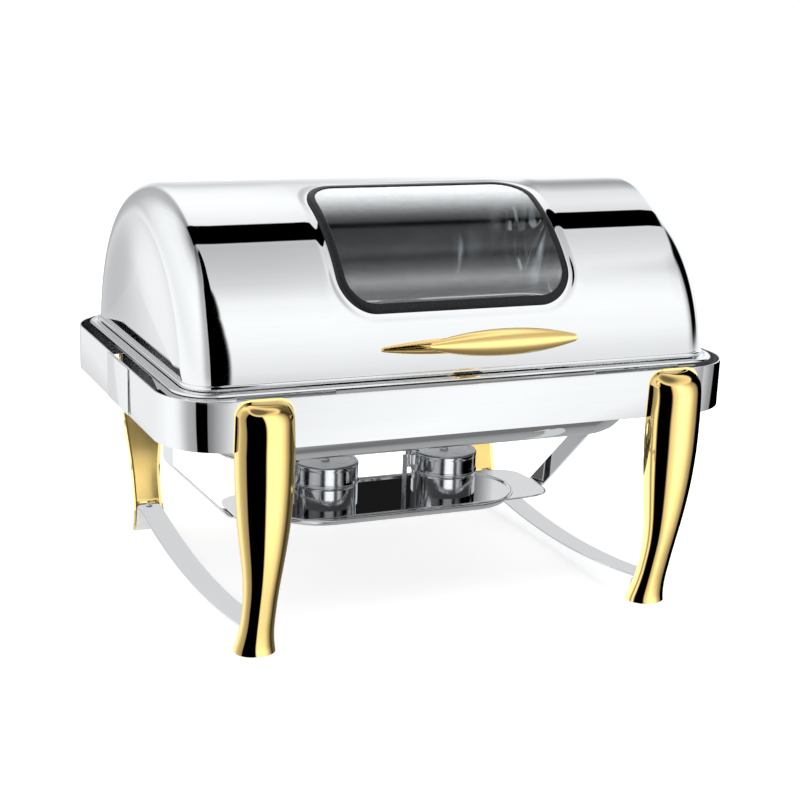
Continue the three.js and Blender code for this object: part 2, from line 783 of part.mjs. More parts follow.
// Part of a tube about the cover's axis, between two radii and two angles.
function arcPiece(inner, outer, from, to, half) {
  const angles = arcAngles().filter((deg) => deg > from + 0.5 && deg < to - 0.5);
  const list = [from, ...angles, to];
  const outline = [
    ...list.map((deg) => onArc(outer, deg)),
    ...list.slice().reverse().map((deg) => onArc(inner, deg)),
  ];
  return prismX(outline, 2 * half);
}

// Rounded window outline drawn out along the normal at the middle of the window.
function windowPrism(grow, corner) {
  const outline = roundedOutline(WINDOW_HALF_X + grow, WINDOW_HALF_S + grow, corner, 0, 7);
  const shape = new THREE.Shape(outline.map((p) => new THREE.Vector2(p.x, p.y)));
  const geometry = new THREE.ExtrudeGeometry(shape, { depth: 140, bevelEnabled: false });
  geometry.translate(0, 0, COVER_RADIUS - 90);
  geometry.rotateX((90 - WINDOW_ANGLE) * RAD);
  geometry.translate(0, 0, COVER_AXIS_Z);
  return solid(geometry);
}

function coverPoint(deg, radius, x = 0) {
  const [y, z] = onArc(radius, deg);
  return [x, y, z];
}

function coverShellSolid() {
  const half = COVER_LENGTH / 2;
  const r = COVER_RADIUS;
  const w = COVER_WALL;
  const outer = vault(r, half, COVER_FILLET, COVER_BOTTOM);
  const inner = vault(r - w, half - w, COVER_FILLET - w, COVER_BOTTOM - 2);
  const pressed = arcPiece(r - RECESS_DEPTH - w, r - w / 2, 12, 96, 170)
    .intersect(windowPrism(RECESS_MARGIN + w, WINDOW_CORNER + RECESS_MARGIN + w));
  const sink = arcPiece(r - RECESS_DEPTH, r + 8, 12, 96, 170)
    .intersect(windowPrism(RECESS_MARGIN, WINDOW_CORNER + RECESS_MARGIN));
  const opening = windowPrism(0, WINDOW_CORNER);
  const side = half + 2.2;
  const deep = Math.sqrt(r * r - 17 * 17) + 2.2;
  const hem = ring([
    [side - 3.2, deep - 3.2, 29, COVER_BOTTOM],
    [side - 0.8, deep - 0.8, 31, COVER_BOTTOM],
    [side, deep, 32, COVER_BOTTOM + 1],
    [side, deep, 32, COVER_BOTTOM + 4],
    [side - 0.8, deep - 0.8, 31, COVER_BOTTOM + 5],
    [side - 3.2, deep - 3.2, 29, COVER_BOTTOM + 5],
  ], 5);
  const screw = rod(
    coverPoint(HANDLE_ANGLE, r - 12, HANDLE_X),
    coverPoint(HANDLE_ANGLE, r + 12, HANDLE_X),
    3,
    14,
  );
  const shell = cut(outer, inner);
  return cut(join(shell, hem, pressed), sink, opening, screw);
}

function gasketSolid() {
  const r = COVER_RADIUS - RECESS_DEPTH;
  const frame = arcPiece(r + GAP, r + 3.4, 10, 98, 170)
    .intersect(windowPrism(GASKET_WIDTH, WINDOW_CORNER + GASKET_WIDTH))
    .subtract(windowPrism(0.4, WINDOW_CORNER + 0.4));
  const slot = arcPiece(r + 0.9, r + 2.9, 10, 98, 170)
    .intersect(windowPrism(5.3, WINDOW_CORNER + 5.3));
  return cut(frame, slot);
}

function glassSolid() {
  const r = COVER_RADIUS - RECESS_DEPTH;
  return arcPiece(r + 1.2, r + 2.6, 10, 98, 170)
    .intersect(windowPrism(5, WINDOW_CORNER + 5));
}

// ---------------------------------------------------------------- handle

// Spindle along X: full in the middle, blunt at both ends.
function barProfile(grow) {
  const half = HANDLE_LENGTH / 2;
  const profile = [[0, -half - grow]];
  const steps = 14;
  for (let i = 0; i <= steps; i++) {
    const t = -1 + 2 * i / steps;
    const swell = HANDLE_HALF * (0.24 + 0.76 * (1 - Math.abs(t) ** 2.1));
    const x = t * (half - 2.4);
    profile.push([swell + grow, x]);
  }
  profile.push([0, half + grow]);
  return profile;
}

function barSolid(grow = 0) {
  const points = barProfile(grow).map(([r, x]) => new THREE.Vector2(r, x));
  const geometry = new THREE.LatheGeometry(points, 20);
  geometry.rotateZ(-Math.PI / 2);
  geometry.scale(1, 0.78, 1);
  geometry.rotateX(-HANDLE_ANGLE * RAD);
  const [, y, z] = coverPoint(HANDLE_ANGLE, COVER_RADIUS + HANDLE_STANDOFF);
  geometry.translate(HANDLE_X, y, z);
  return solid(geometry);
}

// Flared stem from the cover to the bar.
function stemSolid() {
  const levels = [
    [0.5, 17, 10], [2.4, 16.2, 9.2], [6, 14, 7.6], [14, 12.4, 6.6], [26, 12, 6.4],
    [38, 12.6, 6.6], [48, 14, 7.4], [54, 15.4, 8.4],
  ];
  const sections = levels.map(([h, a, b]) => {
    const points = [];
    for (let i = 0; i < 16; i++) {
      const t = 2 * Math.PI * i / 16;
      points.push(new THREE.Vector3(a * Math.cos(t), b * Math.sin(t), COVER_RADIUS + h));
    }
    return points;
  });
  const geometry = new LoftGeometry(sections, { capStart: true, capEnd: true });
  geometry.rotateX((90 - HANDLE_ANGLE) * RAD);
  geometry.translate(HANDLE_X, 0, COVER_AXIS_Z);
  const barrel = arcPiece(150, COVER_RADIUS + GAP, 6, 24, 60);
  const bore = rod(
    coverPoint(HANDLE_ANGLE, COVER_RADIUS - 20, HANDLE_X),
    coverPoint(HANDLE_ANGLE, COVER_RADIUS + 20, HANDLE_X),
    2.5,
    14,
  );
  return cut(solid(geometry), barSolid(GAP), barrel, bore);
}

// Screw from inside the cover into the stem.
function handleScrewSolid() {
  const inside = COVER_RADIUS - COVER_WALL - GAP - 0.4;
  const shank = rod(
    coverPoint(HANDLE_ANGLE, inside - 1, HANDLE_X),
    coverPoint(HANDLE_ANGLE, COVER_RADIUS + 19, HANDLE_X),
    2.1,
    12,
  );
  const head = rod(
    coverPoint(HANDLE_ANGLE, inside - 3.4, HANDLE_X),
    coverPoint(HANDLE_ANGLE, inside, HANDLE_X),
    4.8,
    14,
  );
  return join(shank, head);
}

// ---------------------------------------------------------------- cover hinges

const knuckle = (x0, x1, radius) => rod([x0, HINGE_Y, HINGE_Z], [x1, HINGE_Y, HINGE_Z], radius, 14);

// Leaf bolted inside the back of the band, with the two outer knuckles.
function frameLeafSolid() {
  const half = HINGE_WIDTH / 2;
  const face = BAND_WIDTH / 2 - BAND_WALL - GAP;
  const plate = box(-half, half, face - 1.5, face, 214, HINGE_Z);
  const barrels = join(knuckle(-half, -11, KNUCKLE_R), knuckle(11, half, KNUCKLE_R));
  const window = box(-10.6, 10.6, face - 12, face + 3, HINGE_Z - 5.4, HINGE_Z + 9);
  return cut(join(plate, barrels), window, knuckle(-40, 40, 2));
}

// Leaf on the back of the cover, with the middle knuckle.
function coverLeafSolid() {
  const half = HINGE_WIDTH / 2;
  const skin = COVER_RADIUS + GAP;
  const pad = arcPiece(skin, skin + 1.5, 180 - 19, 180 - 7.4, half);
  const top = HINGE_Z + KNUCKLE_R;
  const arm = box(-half, half, 184, HINGE_Y - 5.6, top - 1.5, top);
  const reach = box(-10.3, 10.3, 190, HINGE_Y, top - 1.5, top);
  const clear = arcPiece(120, skin, 180 - 25, 180 - 2, 60);
  const body = cut(join(arm, reach, pad, knuckle(-10.3, 10.3, KNUCKLE_R)), knuckle(-40, 40, 2));
  return cut(body, clear);
}

function hingePinSolid() {
  const half = HINGE_WIDTH / 2;
  const shaft = knuckle(-half - 0.8, half + 0.8, 1.7);
  const heads = [-1, 1].map((s) => knuckle(s * (half + 0.4), s * (half + 2), 3));
  return join(shaft, ...heads);
}

function buildHinges() {
  for (const [name, side] of [['left', -1], ['right', 1]]) {
    const group = subgroup(dish, [side * HINGE_X, 0, 0]);
    place(group, `hinge_leaf_frame_${name}`, frameLeafSolid(), satin('satin_steel'));
    place(group, `hinge_leaf_cover_${name}`, coverLeafSolid(), satin('satin_steel'));
    place(group, `hinge_pin_${name}`, hingePinSolid(), satin('zinc_screw'));
  }
}

// ---------------------------------------------------------------- assembly

place(dish, 'frame_band', bandSolid(), steel('polished_steel'));
place(dish, 'band_joint_plate', jointPlateSolid(), steel('polished_steel'));
buildLegs();
place(dish, 'side_stretcher_left', stretcherSolid(), steel('polished_steel'), [-LEG_X, 0, 0]);
place(dish, 'side_stretcher_right', stretcherSolid(), steel('polished_steel'), [LEG_X, 0, 0]);
const leftEnd = subgroup(dish, [0, 0, 0], Math.PI);
place(leftEnd, 'tray_hanger_left', hangerSolid(), steel('polished_steel'));
place(dish, 'tray_hanger_right', hangerSolid(), steel('polished_steel'));
buildBrackets();
place(dish, 'water_pan', waterPanSolid(), steel('polished_steel'));
place(dish, 'food_pan', foodPanSolid(), satin('satin_steel'));
place(dish, 'lid_bumper', bumperSolid(), rubber('black_rubber'));
buildBurners();
place(dish, 'cover_shell', coverShellSolid(), steel('polished_steel'));
place(dish, 'window_gasket', gasketSolid(), rubber('black_rubber'));
place(dish, 'window_glass', glassSolid(), glass('tinted_glass'));
place(dish, 'handle_bar', barSolid(), gold('gold_plate'));
place(dish, 'handle_stem', stemSolid(), gold('gold_plate'));
place(dish, 'handle_screw', handleScrewSolid(), satin('zinc_screw'));
buildHinges();

const assembly = new THREE.Group();
assembly.add(dish);

export default assembly;
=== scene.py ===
"""Looks for the roll-top chafing dish: polished steel, gold legs and handle, tinted window."""
import json
import math
from collections import namedtuple

import bmesh
import bpy
from mathutils import Matrix, Vector

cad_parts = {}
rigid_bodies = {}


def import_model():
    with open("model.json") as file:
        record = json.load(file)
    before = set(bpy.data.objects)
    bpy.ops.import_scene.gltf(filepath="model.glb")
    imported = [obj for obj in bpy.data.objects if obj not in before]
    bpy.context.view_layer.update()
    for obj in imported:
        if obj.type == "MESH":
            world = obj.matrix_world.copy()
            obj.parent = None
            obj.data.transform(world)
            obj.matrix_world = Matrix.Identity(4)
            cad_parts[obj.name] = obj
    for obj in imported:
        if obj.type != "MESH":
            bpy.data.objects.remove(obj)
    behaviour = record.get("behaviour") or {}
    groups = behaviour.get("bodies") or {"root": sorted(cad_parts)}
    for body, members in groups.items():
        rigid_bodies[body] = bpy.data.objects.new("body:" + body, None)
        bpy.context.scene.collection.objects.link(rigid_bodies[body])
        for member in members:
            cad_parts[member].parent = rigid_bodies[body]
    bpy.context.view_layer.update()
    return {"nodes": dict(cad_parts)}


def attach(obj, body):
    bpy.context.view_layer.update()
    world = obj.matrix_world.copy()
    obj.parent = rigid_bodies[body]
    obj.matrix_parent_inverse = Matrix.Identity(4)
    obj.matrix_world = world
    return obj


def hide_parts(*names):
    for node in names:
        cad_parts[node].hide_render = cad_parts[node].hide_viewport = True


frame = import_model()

MM = 0.001
LIFT = 6.0                      # the pieces' working datum is 6 mm above the floor
RAD = math.pi / 180

# ------------------------------------------------------------ dimensions, mm, as in the frame

BAND = (310.0, 213.5, 65.0)     # half length, half width, corner radius
BAND_WALL = 1.5
BAND_LOW = 204.0
BAND_TOP = 253.0
LEG_X = 222.0
LEG_WALL = 1.6
RIM = (297.0, 198.0, 41.0)
SEAT_Z = 256.0
PAN_FLOOR = 160.0
FOOD_RIM = (265.0, 162.5)       # a gastronorm 1/1 pan
TRAY_Z = 73.0
COVER_HALF = 285.0
COVER_R = 187.0
COVER_AXIS = 240.0
COVER_BOTTOM = 257.0
COVER_WALL = 1.2
END_SWELL = 2.6                  # how far the end walls belly out
FILLET = 30.0
WINDOW_ANGLE = 52.4
WINDOW = (118.5, 78.0, 29.0)    # half length, half chord, corner radius of the clear opening
RECESS = 1.1
WINDOW_GRID = (64, 46)          # points along the long and short sides of everything about the window
HANDLE_ANGLE = 14.0
HANDLE_X = 12.0
CUPS = {"left": -75.0, "right": 69.0}
CUP_R = 36.4
CUP_H = 54.0
CUP_BASE = 66.5
CUP_WALL = 1.2
PIVOT = -43.9                   # damper pin, from the middle of its cup

CORNERS = {"front_left": (-1, -1), "front_right": (1, -1), "rear_left": (-1, 1), "rear_right": (1, 1)}


# ------------------------------------------------------------ node helpers

NOISE_RANGE = (0.3, 0.7)        # where nearly all of a noise's values lie


class Nodes:
    """Short calls for wiring a shader tree."""

    def __init__(self, tree):
        self.tree = tree
        tree.nodes.clear()

    def new(self, kind, **values):
        node = self.tree.nodes.new(kind)
        for key, value in values.items():
            setattr(node, key, value)
        return node

    def link(self, out, socket):
        self.tree.links.new(out, socket)

    def put(self, socket, value):
        if isinstance(value, (int, float)):
            socket.default_value = value
        else:
            self.link(value, socket)

    def math(self, op, a, b=None, c=None):
        node = self.new("ShaderNodeMath", operation=op)
        for socket, value in zip(node.inputs, (a, b, c)):
            if value is not None:
                self.put(socket, value)
        return node.outputs[0]

    def span(self, value, lo, hi, out_lo=0.0, out_hi=1.0, kind="SMOOTHSTEP"):
        node = self.new("ShaderNodeMapRange", interpolation_type=kind)
        self.put(node.inputs["Value"], value)
        for key, number in (("From Min", lo), ("From Max", hi), ("To Min", out_lo), ("To Max", out_hi)):
            node.inputs[key].default_value = number
        return node.outputs["Result"]

    def inside(self, value, lo, hi, soft):
        rise = self.span(value, lo - soft, lo + soft)
        fall = self.span(value, hi - soft, hi + soft, 1.0, 0.0)
        return self.math("MULTIPLY", rise, fall)

    def noise(self, vector, scale, detail=2.0, rough=0.5, stretch=(1, 1, 1)):
        mapping = self.new("ShaderNodeMapping")
        mapping.inputs["Scale"].default_value = stretch
        self.link(vector, mapping.inputs["Vector"])
        node = self.new("ShaderNodeTexNoise")
        self.link(mapping.outputs[0], node.inputs["Vector"])
        node.inputs["Scale"].default_value = scale
        node.inputs["Detail"].default_value = detail
        node.inputs["Roughness"].default_value = rough
        return node.outputs["Fac"]

    def ramp(self, value, dark, light):
        """Colour between dark and light over the middle of a noise's range."""
        node = self.new("ShaderNodeValToRGB")
        for element, place, colour in zip(node.color_ramp.elements, NOISE_RANGE, (dark, light)):
            element.position = place
            element.color = (*colour, 1)
        self.link(value, node.inputs[0])
        return node.outputs[0]

    def reading(self, value, stops, lo=0.0, hi=1.0):
        """Piecewise straight table of value, with its results between lo and hi."""
        first, last = stops[0][0], stops[-1][0]
        node = self.new("ShaderNodeValToRGB")
        elements = node.color_ramp.elements
        while len(elements) > 1:
            elements.remove(elements[-1])
        for i, (x, y) in enumerate(stops):
            place = (x - first) / (last - first)
            element = elements.new(place) if i else elements[0]
            element.position = place
            level = (y - lo) / (hi - lo)
            element.color = (level, level, level, 1)
        self.link(self.span(value, first, last, kind="LINEAR"), node.inputs[0])
        return self.math("MULTIPLY_ADD", node.outputs[0], hi - lo, lo)

    def blend(self, factor, a, b):
        node = self.new("ShaderNodeMix", data_type="FLOAT")
        for key, value in (("Factor", factor), ("A", a), ("B", b)):
            self.put(node.inputs[key], value)
        return node.outputs["Result"]

    def minus(self, level, shape):
        """The level, dark where the shape is 1."""
        return self.math("MULTIPLY", level, self.math("SUBTRACT", 1.0, shape))

    def bump(self, height, strength, distance):
        node = self.new("ShaderNodeBump")
        node.inputs["Strength"].default_value = strength
        node.inputs["Distance"].default_value = distance
        self.link(height, node.inputs["Height"])
        return node.outputs[0]


# ------------------------------------------------------------ materials


def material(name):
    """New material with its shader wired up; returns it, its nodes, its shader and the object coordinates."""
    mat = bpy.data.materials.new(name)
    mat.use_nodes = True
    kit = Nodes(mat.node_tree)
    shader = kit.new("ShaderNodeBsdfPrincipled")
    out = kit.new("ShaderNodeOutputMaterial")
    kit.link(shader.outputs[0], out.inputs["Surface"])
    coords = kit.new("ShaderNodeTexCoord").outputs["Object"]
    return mat, kit, shader, coords


def tone(kit, shader, mask, dark, light, rough):
    """Colour and roughness that follow one mask."""
    kit.link(kit.ramp(mask, dark, light), shader.inputs["Base Color"])
    kit.link(kit.span(mask, *NOISE_RANGE, *rough, "LINEAR"), shader.inputs["Roughness"])


def settings(shader, values):
    for key, value in values.items():
        shader.inputs[key].default_value = value


def metal(name, slot, dark, light, rough, grain, bump):
    """Metal with a faint grain in colour, roughness and relief; the grain is finest across the polishing."""
    mat, kit, shader, coords = material(name)
    lines = kit.noise(coords, 1.0, 3.0, 0.6, grain)
    cloud = kit.noise(coords, 9.0, 2.0)
    mixed = kit.math("MULTIPLY_ADD", cloud, 0.5, kit.math("MULTIPLY", lines, 0.5))
    tone(kit, shader, mixed, dark, light, rough)
    kit.link(kit.bump(lines, bump, 0.0002), shader.inputs["Normal"])
    settings(shader, {"Metallic": 1.0})
    return mat


def matt(name, fineness, detail, dark, light, rough, relief, values):
    """Rubber or plastic with an even grain."""
    mat, kit, shader, coords = material(name)
    grain = kit.noise(coords, fineness, detail)
    tone(kit, shader, grain, dark, light, rough)
    kit.link(kit.bump(grain, *relief), shader.inputs["Normal"])
    settings(shader, values)
    return mat


def glass_material():
    mat, kit, shader, coords = material("glass_tinted")
    tone(kit, shader, kit.noise(coords, 14.0, 3.0), (0.5, 0.53, 0.55), (0.54, 0.57, 0.59), (0.0, 0.015))
    settings(shader, {"Transmission Weight": 1.0, "IOR": 1.5, "Coat Weight": 1.0, "Coat IOR": 1.9,
                      "Coat Roughness": 0.01})
    return mat


MIRROR_TONE = ((0.9, 0.905, 0.91), (0.935, 0.94, 0.945), (0.02, 0.035))
MIRROR = metal("steel_mirror", "polished_steel", *MIRROR_TONE, (4, 500, 500), 0.0006)
MIRROR_Y = metal("steel_mirror_side", "polished_steel", *MIRROR_TONE, (500, 4, 500), 0.0006)
CUP = metal("steel_turned", "polished_steel",
            (0.62, 0.63, 0.65), (0.7, 0.71, 0.73), (0.08, 0.13), (6, 6, 900), 0.01)
SATIN = metal("steel_satin", "satin_steel",
              (0.5, 0.51, 0.53), (0.66, 0.67, 0.68), (0.22, 0.34), (12, 1400, 1400), 0.05)
PRESSED = metal("steel_pan_inside", "satin_steel",
                (0.6, 0.61, 0.62), (0.74, 0.75, 0.76), (0.16, 0.26), (1200, 12, 1200), 0.04)
# Near-black steel as painted shade: the liner on the band's inner face and the upper tongues of the leg
# plates.
SHADE_STEEL = metal("steel_painted_shade", "satin_steel",
            (0.07, 0.072, 0.076), (0.13, 0.133, 0.138), (0.3, 0.42), (400, 400, 30), 0.05)
GOLD = metal("gold_polished", "gold_plate",
             (0.92, 0.655, 0.24), (0.97, 0.71, 0.29), (0.03, 0.05), (700, 700, 10), 0.002)
GOLD_FLAT = metal("gold_satin", "gold_plate",
                  (0.9, 0.65, 0.22), (0.96, 0.72, 0.28), (0.2, 0.28), (300, 300, 8), 0.004)
ZINC = metal("zinc_bright", "zinc_screw",
             (0.55, 0.56, 0.58), (0.72, 0.73, 0.75), (0.18, 0.3), (700, 700, 700), 0.05)
TIN = metal("can_metal", "tin_can",
            (0.6, 0.6, 0.6), (0.78, 0.78, 0.77), (0.2, 0.3), (20, 20, 1200), 0.03)
RUBBER = matt("rubber_black", 900.0, 3.0, (0.006, 0.007, 0.008), (0.016, 0.017, 0.019),
              (0.24, 0.36), (0.08, 0.0001), {"Specular IOR Level": 0.2})
NYLON = matt("nylon_white", 240.0, 4.0, (0.72, 0.72, 0.69), (0.83, 0.83, 0.8),
             (0.45, 0.6), (0.1, 0.0002), {"Subsurface Weight": 0.05})
GLASS = glass_material()


# ------------------------------------------------------------ mesh helpers

class Build:
    """Points in mm and faces of one piece."""

    def __init__(self):
        self.points = []
        self.faces = []

    def add(self, points):
        start = len(self.points)
        self.points.extend(points)
        return list(range(start, start + len(points)))

    def strip(self, a, b, closed=True):
        """Four-sided faces between two lines of the same number of points."""
        n = len(a)
        for i in range(n if closed else n - 1):
            j = (i + 1) % n
            self.faces.append((a[i], a[j], b[j], b[i]))

    def loft(self, sections, endless=False):
        """Skin over a row of closed loops, capped at its ends or joined end to end."""
        loops = [self.add(s) for s in sections]
        for a, b in zip(loops, loops[1:]):
            self.strip(a, b)
        if endless:
            self.strip(loops[-1], loops[0])
        else:
            self.faces += [tuple(loops[0]), tuple(reversed(loops[-1]))]

    def move(self, start, function):
        for i in range(start, len(self.points)):
            self.points[i] = function(self.points[i])


def make(name, build, mat, body, nodes, sharp=32.0, bevel=0.0, segments=2):
    """Turns a build into an object that rides on its body and stands for its CAD nodes."""
    mesh = bpy.data.meshes.new(name)
    mesh.from_pydata([(x * MM, y * MM, (z + LIFT) * MM) for x, y, z in build.points], [], build.faces)
    bm = bmesh.new()
    bm.from_mesh(mesh)
    bmesh.ops.remove_doubles(bm, verts=bm.verts, dist=1e-7)
    bmesh.ops.recalc_face_normals(bm, faces=bm.faces)
    if bevel:
        limit = math.radians(sharp)
        edges = [e for e in bm.edges if len(e.link_faces) == 2 and e.calc_face_angle(0) > limit]
        bmesh.ops.bevel(bm, geom=edges, offset=bevel * MM, segments=segments, profile=0.5,
                        affect="EDGES", clamp_overlap=True)
    bm.to_mesh(mesh)
    bm.free()
    mesh.polygons.foreach_set("use_smooth", [True] * len(mesh.polygons))
    mesh.set_sharp_from_angle(angle=math.radians(sharp))
    piece = bpy.data.objects.new(name, mesh)
    bpy.context.scene.collection.objects.link(piece)
    mesh.materials.append(mat)
    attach(piece, body)
    if nodes:
        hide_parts(*nodes)
    return piece


def outline(hx, hy, r, z, steps=16):
    """Rounded rectangle at height z."""
    points = []
    for corner, (sx, sy) in enumerate(((1, 1), (-1, 1), (-1, -1), (1, -1))):
        for i in range(steps + 1):
            t = (corner + i / steps) * math.pi / 2
            points.append((sx * (hx - r) + r * math.cos(t), sy * (hy - r) + r * math.sin(t), z))
    return points


def smoothed(points, rounds, closed=True):
    """Corner cutting of a line; an open one keeps its ends."""
    for _ in range(rounds):
        pairs = zip(points, points[1:] + points[:1] if closed else points[1:])
        line = [tuple(k * p + (1 - k) * q for p, q in zip(a, b)) for a, b in pairs for k in (0.75, 0.25)]
        points = line if closed else [points[0]] + line + [points[-1]]
    return points


def arc(cx, cz, r, a0, a1, steps):
    """Points on a circle in a profile plane, angles in degrees."""
    return [(cx + r * math.cos((a0 + (a1 - a0) * i / steps) * RAD),
             cz + r * math.sin((a0 + (a1 - a0) * i / steps) * RAD)) for i in range(steps + 1)]


def braced(profile, margin=0.35):
    """Profile with extra points near the ends of its long runs, which keeps them flat in the light."""
    points = [profile[0]]
    for a, b in zip(profile, profile[1:]):
        length = math.dist(a, b)
        if length > 6 * margin:
            for t in (margin / length, 1 - margin / length):
                points.append((a[0] + (b[0] - a[0]) * t, a[1] + (b[1] - a[1]) * t))
        points.append(b)
    return points


def turned(build, profile, centre=(0, 0, 0), segments=72):
    """Body of revolution about +Z from (radius, height) pairs; a radius of 0 closes it."""
    rings = []
    for r, z in braced(profile):
        r = max(r, 0.0)
        if r < 1e-6:
            rings.append(build.add([(centre[0], centre[1], centre[2] + z)]) * segments)
        else:
            rings.append(build.add([
                (centre[0] + r * math.cos(2 * math.pi * i / segments),
                 centre[1] + r * math.sin(2 * math.pi * i / segments), centre[2] + z)
                for i in range(segments)]))
    for a, b in zip(rings, rings[1:]):
        for i in range(segments):
            j = (i + 1) % segments
            face = []
            for index in (a[i], a[j], b[j], b[i]):
                if index not in face:
                    face.append(index)
            if len(face) > 2:
                build.faces.append(tuple(face))


def rod(build, a, b, radius, segments=32):
    """Round bar from a to b with softened ends."""
    a, b = Vector(a), Vector(b)
    length = (b - a).length
    turn = (b - a).to_track_quat("Z", "Y")
    start = len(build.points)
    soft = min(0.4, radius * 0.5, length * 0.3)
    half = [(0, 0), (radius - soft, 0), (radius - 0.3 * soft, 0.3 * soft), (radius, soft)]
    turned(build, half + [(r, length - z) for r, z in reversed(half)], segments=segments)
    build.move(start, lambda p: tuple(a + turn @ Vector(p)))


def block(build, x0, x1, y0, y1, z0, z1):
    build.loft([[(x0, y0, z), (x1, y0, z), (x1, y1, z), (x0, y1, z)] for z in (z0, z1)])


def lerp_table(rows, z):
    """Smooth (monotone cubic) reading of a table of rows that start with their height."""
    n = len(rows)
    if z <= rows[0][0]:
        return rows[0][1:]
    if z >= rows[-1][0]:
        return rows[-1][1:]
    i = max(k for k in range(n - 1) if rows[k][0] <= z)
    h = rows[i + 1][0] - rows[i][0]
    t = (z - rows[i][0]) / h
    result = []
    for c in range(1, len(rows[0])):
        def slope(k):
            if k <= 0 or k >= n - 1:
                j = min(max(k, 0), n - 2)
                return (rows[j + 1][c] - rows[j][c]) / (rows[j + 1][0] - rows[j][0])
            d0 = (rows[k][c] - rows[k - 1][c]) / (rows[k][0] - rows[k - 1][0])
            d1 = (rows[k + 1][c] - rows[k][c]) / (rows[k + 1][0] - rows[k][0])
            return 0.0 if d0 * d1 <= 0 else 2 * d0 * d1 / (d0 + d1)
        m0, m1 = slope(i) * h, slope(i + 1) * h
        result.append((2 * t ** 3 - 3 * t ** 2 + 1) * rows[i][c] + (t ** 3 - 2 * t ** 2 + t) * m0
                      + (-2 * t ** 3 + 3 * t ** 2) * rows[i + 1][c] + (t ** 3 - t ** 2) * m1)
    return tuple(result)


# ------------------------------------------------------------ skirt band

def band_ring(build, profile):
    """Ring with the band's outline from (depth behind its outer face, height) pairs."""
    hx, hy, r = BAND
    build.loft([outline(hx - d, hy - d, r - d, z, 40) for d, z in profile], endless=True)


def build_band():
    soft = 0.45
    left, right = soft, BAND_WALL - soft
    low, top = BAND_LOW + soft, BAND_TOP - soft
    build = Build()
    band_ring(build, [(0, low), (0, top)] + arc(left, top, soft, 150, 90, 2) + arc(right, top, soft, 90, 0, 3)
              + [(BAND_WALL, low)] + arc(right, low, soft, -30, -90, 2) + arc(left, low, soft, -90, -150, 2))
    make("skirt_band", build, MIRROR, "stand", ["frame_band"])

    low, top = BAND_LOW + 0.8, BAND_TOP - 0.8
    near, far = BAND_WALL + 0.02, BAND_WALL + 0.3
    # Near-black sheet just inside the band's inner face: painted shade for the gap between the band and the
    # water pan.
    build = Build()
    band_ring(build, [(near, low), (near, top), (far, top), (far, low)])
    make("skirt_inner_shade", build, SHADE_STEEL, "stand", None)

    build = Build()
    block(build, -BAND[0] - 1.5, -BAND[0] - 0.3, -58, 24, low, top)
    make("band_seam_plate", build, MIRROR_Y, "stand", ["band_joint_plate"], bevel=0.3)


# ------------------------------------------------------------ legs

LEG_SIDE, LEG_FACE, LEG_BACK = 29.2, 242.6, 213.8    # half width, outer and inner face at the band
# height, half width, outer face, inner face
LEG_LEVELS = [
    (-7, 21.6, 211.6, 188), (-1, 20.6, 210.8, 189.4), (8, 18.9, 212, 192.6), (20, 17.5, 214.6, 196.6),
    (34, 16.9, 218.4, 201.4), (50, 17, 222.8, 205.8), (68, 17.9, 227.8, 209.4), (90, 20.3, 233, 212),
    (115, 23.6, 237.4, 213.2), (145, 26.8, 240.8, LEG_BACK), (180, 28.8, LEG_FACE, LEG_BACK),
    (BAND_LOW, LEG_SIDE, LEG_FACE, LEG_BACK),
]
FLANGE_Y = 215.4                # face of the flange that lies on the band
FLANGE_TURN = 239.5             # where the flange starts to round in
LEG_ROOT = FLANGE_Y - 2.2       # the raised part's face runs down to just behind the flange
SHOULDER = 252.4                # top of the raised part of the leg, inside its flange
CROWN = 15.0                    # height over which the leg and its flange round in
PLATE_SPLIT = 156.0             # the leg plate shows gold below this; above it, near-black steel is painted shade in the gap under the band and behind it
LEG_STEPS = 56


def leg_body(z):
    """Half width, outer and inner face of the raised part of a leg at height z."""
    if z <= BAND_LOW:
        return lerp_table(LEG_LEVELS, z)
    t = min((z - BAND_LOW) / (SHOULDER - BAND_LOW), 1.0)
    out = LEG_ROOT + (LEG_FACE - LEG_ROOT) * math.sqrt(max(1 - t ** 5, 0))
    side = LEG_SIDE - min(t / 0.75, 1.0)
    rise = (z - SHOULDER) / CROWN + 1
    if rise > 0:
        side = LEG_SIDE - 1 - CROWN + CROWN * math.sqrt(max(1 - rise ** 2, 0))
    return side, out, LEG_BACK


def leg_flange(z):
    """Half width of the flange on the band at height z."""
    if z <= FLANGE_TURN:
        return 30.5 - (z - BAND_LOW) / (FLANGE_TURN - BAND_LOW)
    return 14.5 + CROWN * math.sqrt(max(1 - ((z - FLANGE_TURN) / CROWN) ** 2, 0))


def leg_curve(a, out, back, steps=LEG_STEPS):
    """The leg's rounded section as (x, depth) points, from its left edge to its right one."""
    points = []
    for i in range(steps + 1):
        c, s = math.cos(math.pi * i / steps), max(math.sin(math.pi * i / steps), 0.0)
        points.append((-a * math.copysign(abs(c) ** 0.8, c), back + (out - back) * s ** 0.85))
    return points


def leg_shell(inset):
    """Rows of the leg's skin as (x, depth, z), from the foot to the band."""
    rows = []
    for z in (-5.2, -4, -2, 1, 4, 8, 12, 16, 20, 24, 29, 34, 40, 46, 52, 60, 68, 77, 86, 96, 106, 118, 130,
              142, 155, 168, 180, 190, 198, 203.4):
        a, out, back = leg_body(z)
        rows.append([(x, y, z) for x, y in leg_curve(a - inset, out - inset, back)])
    return rows


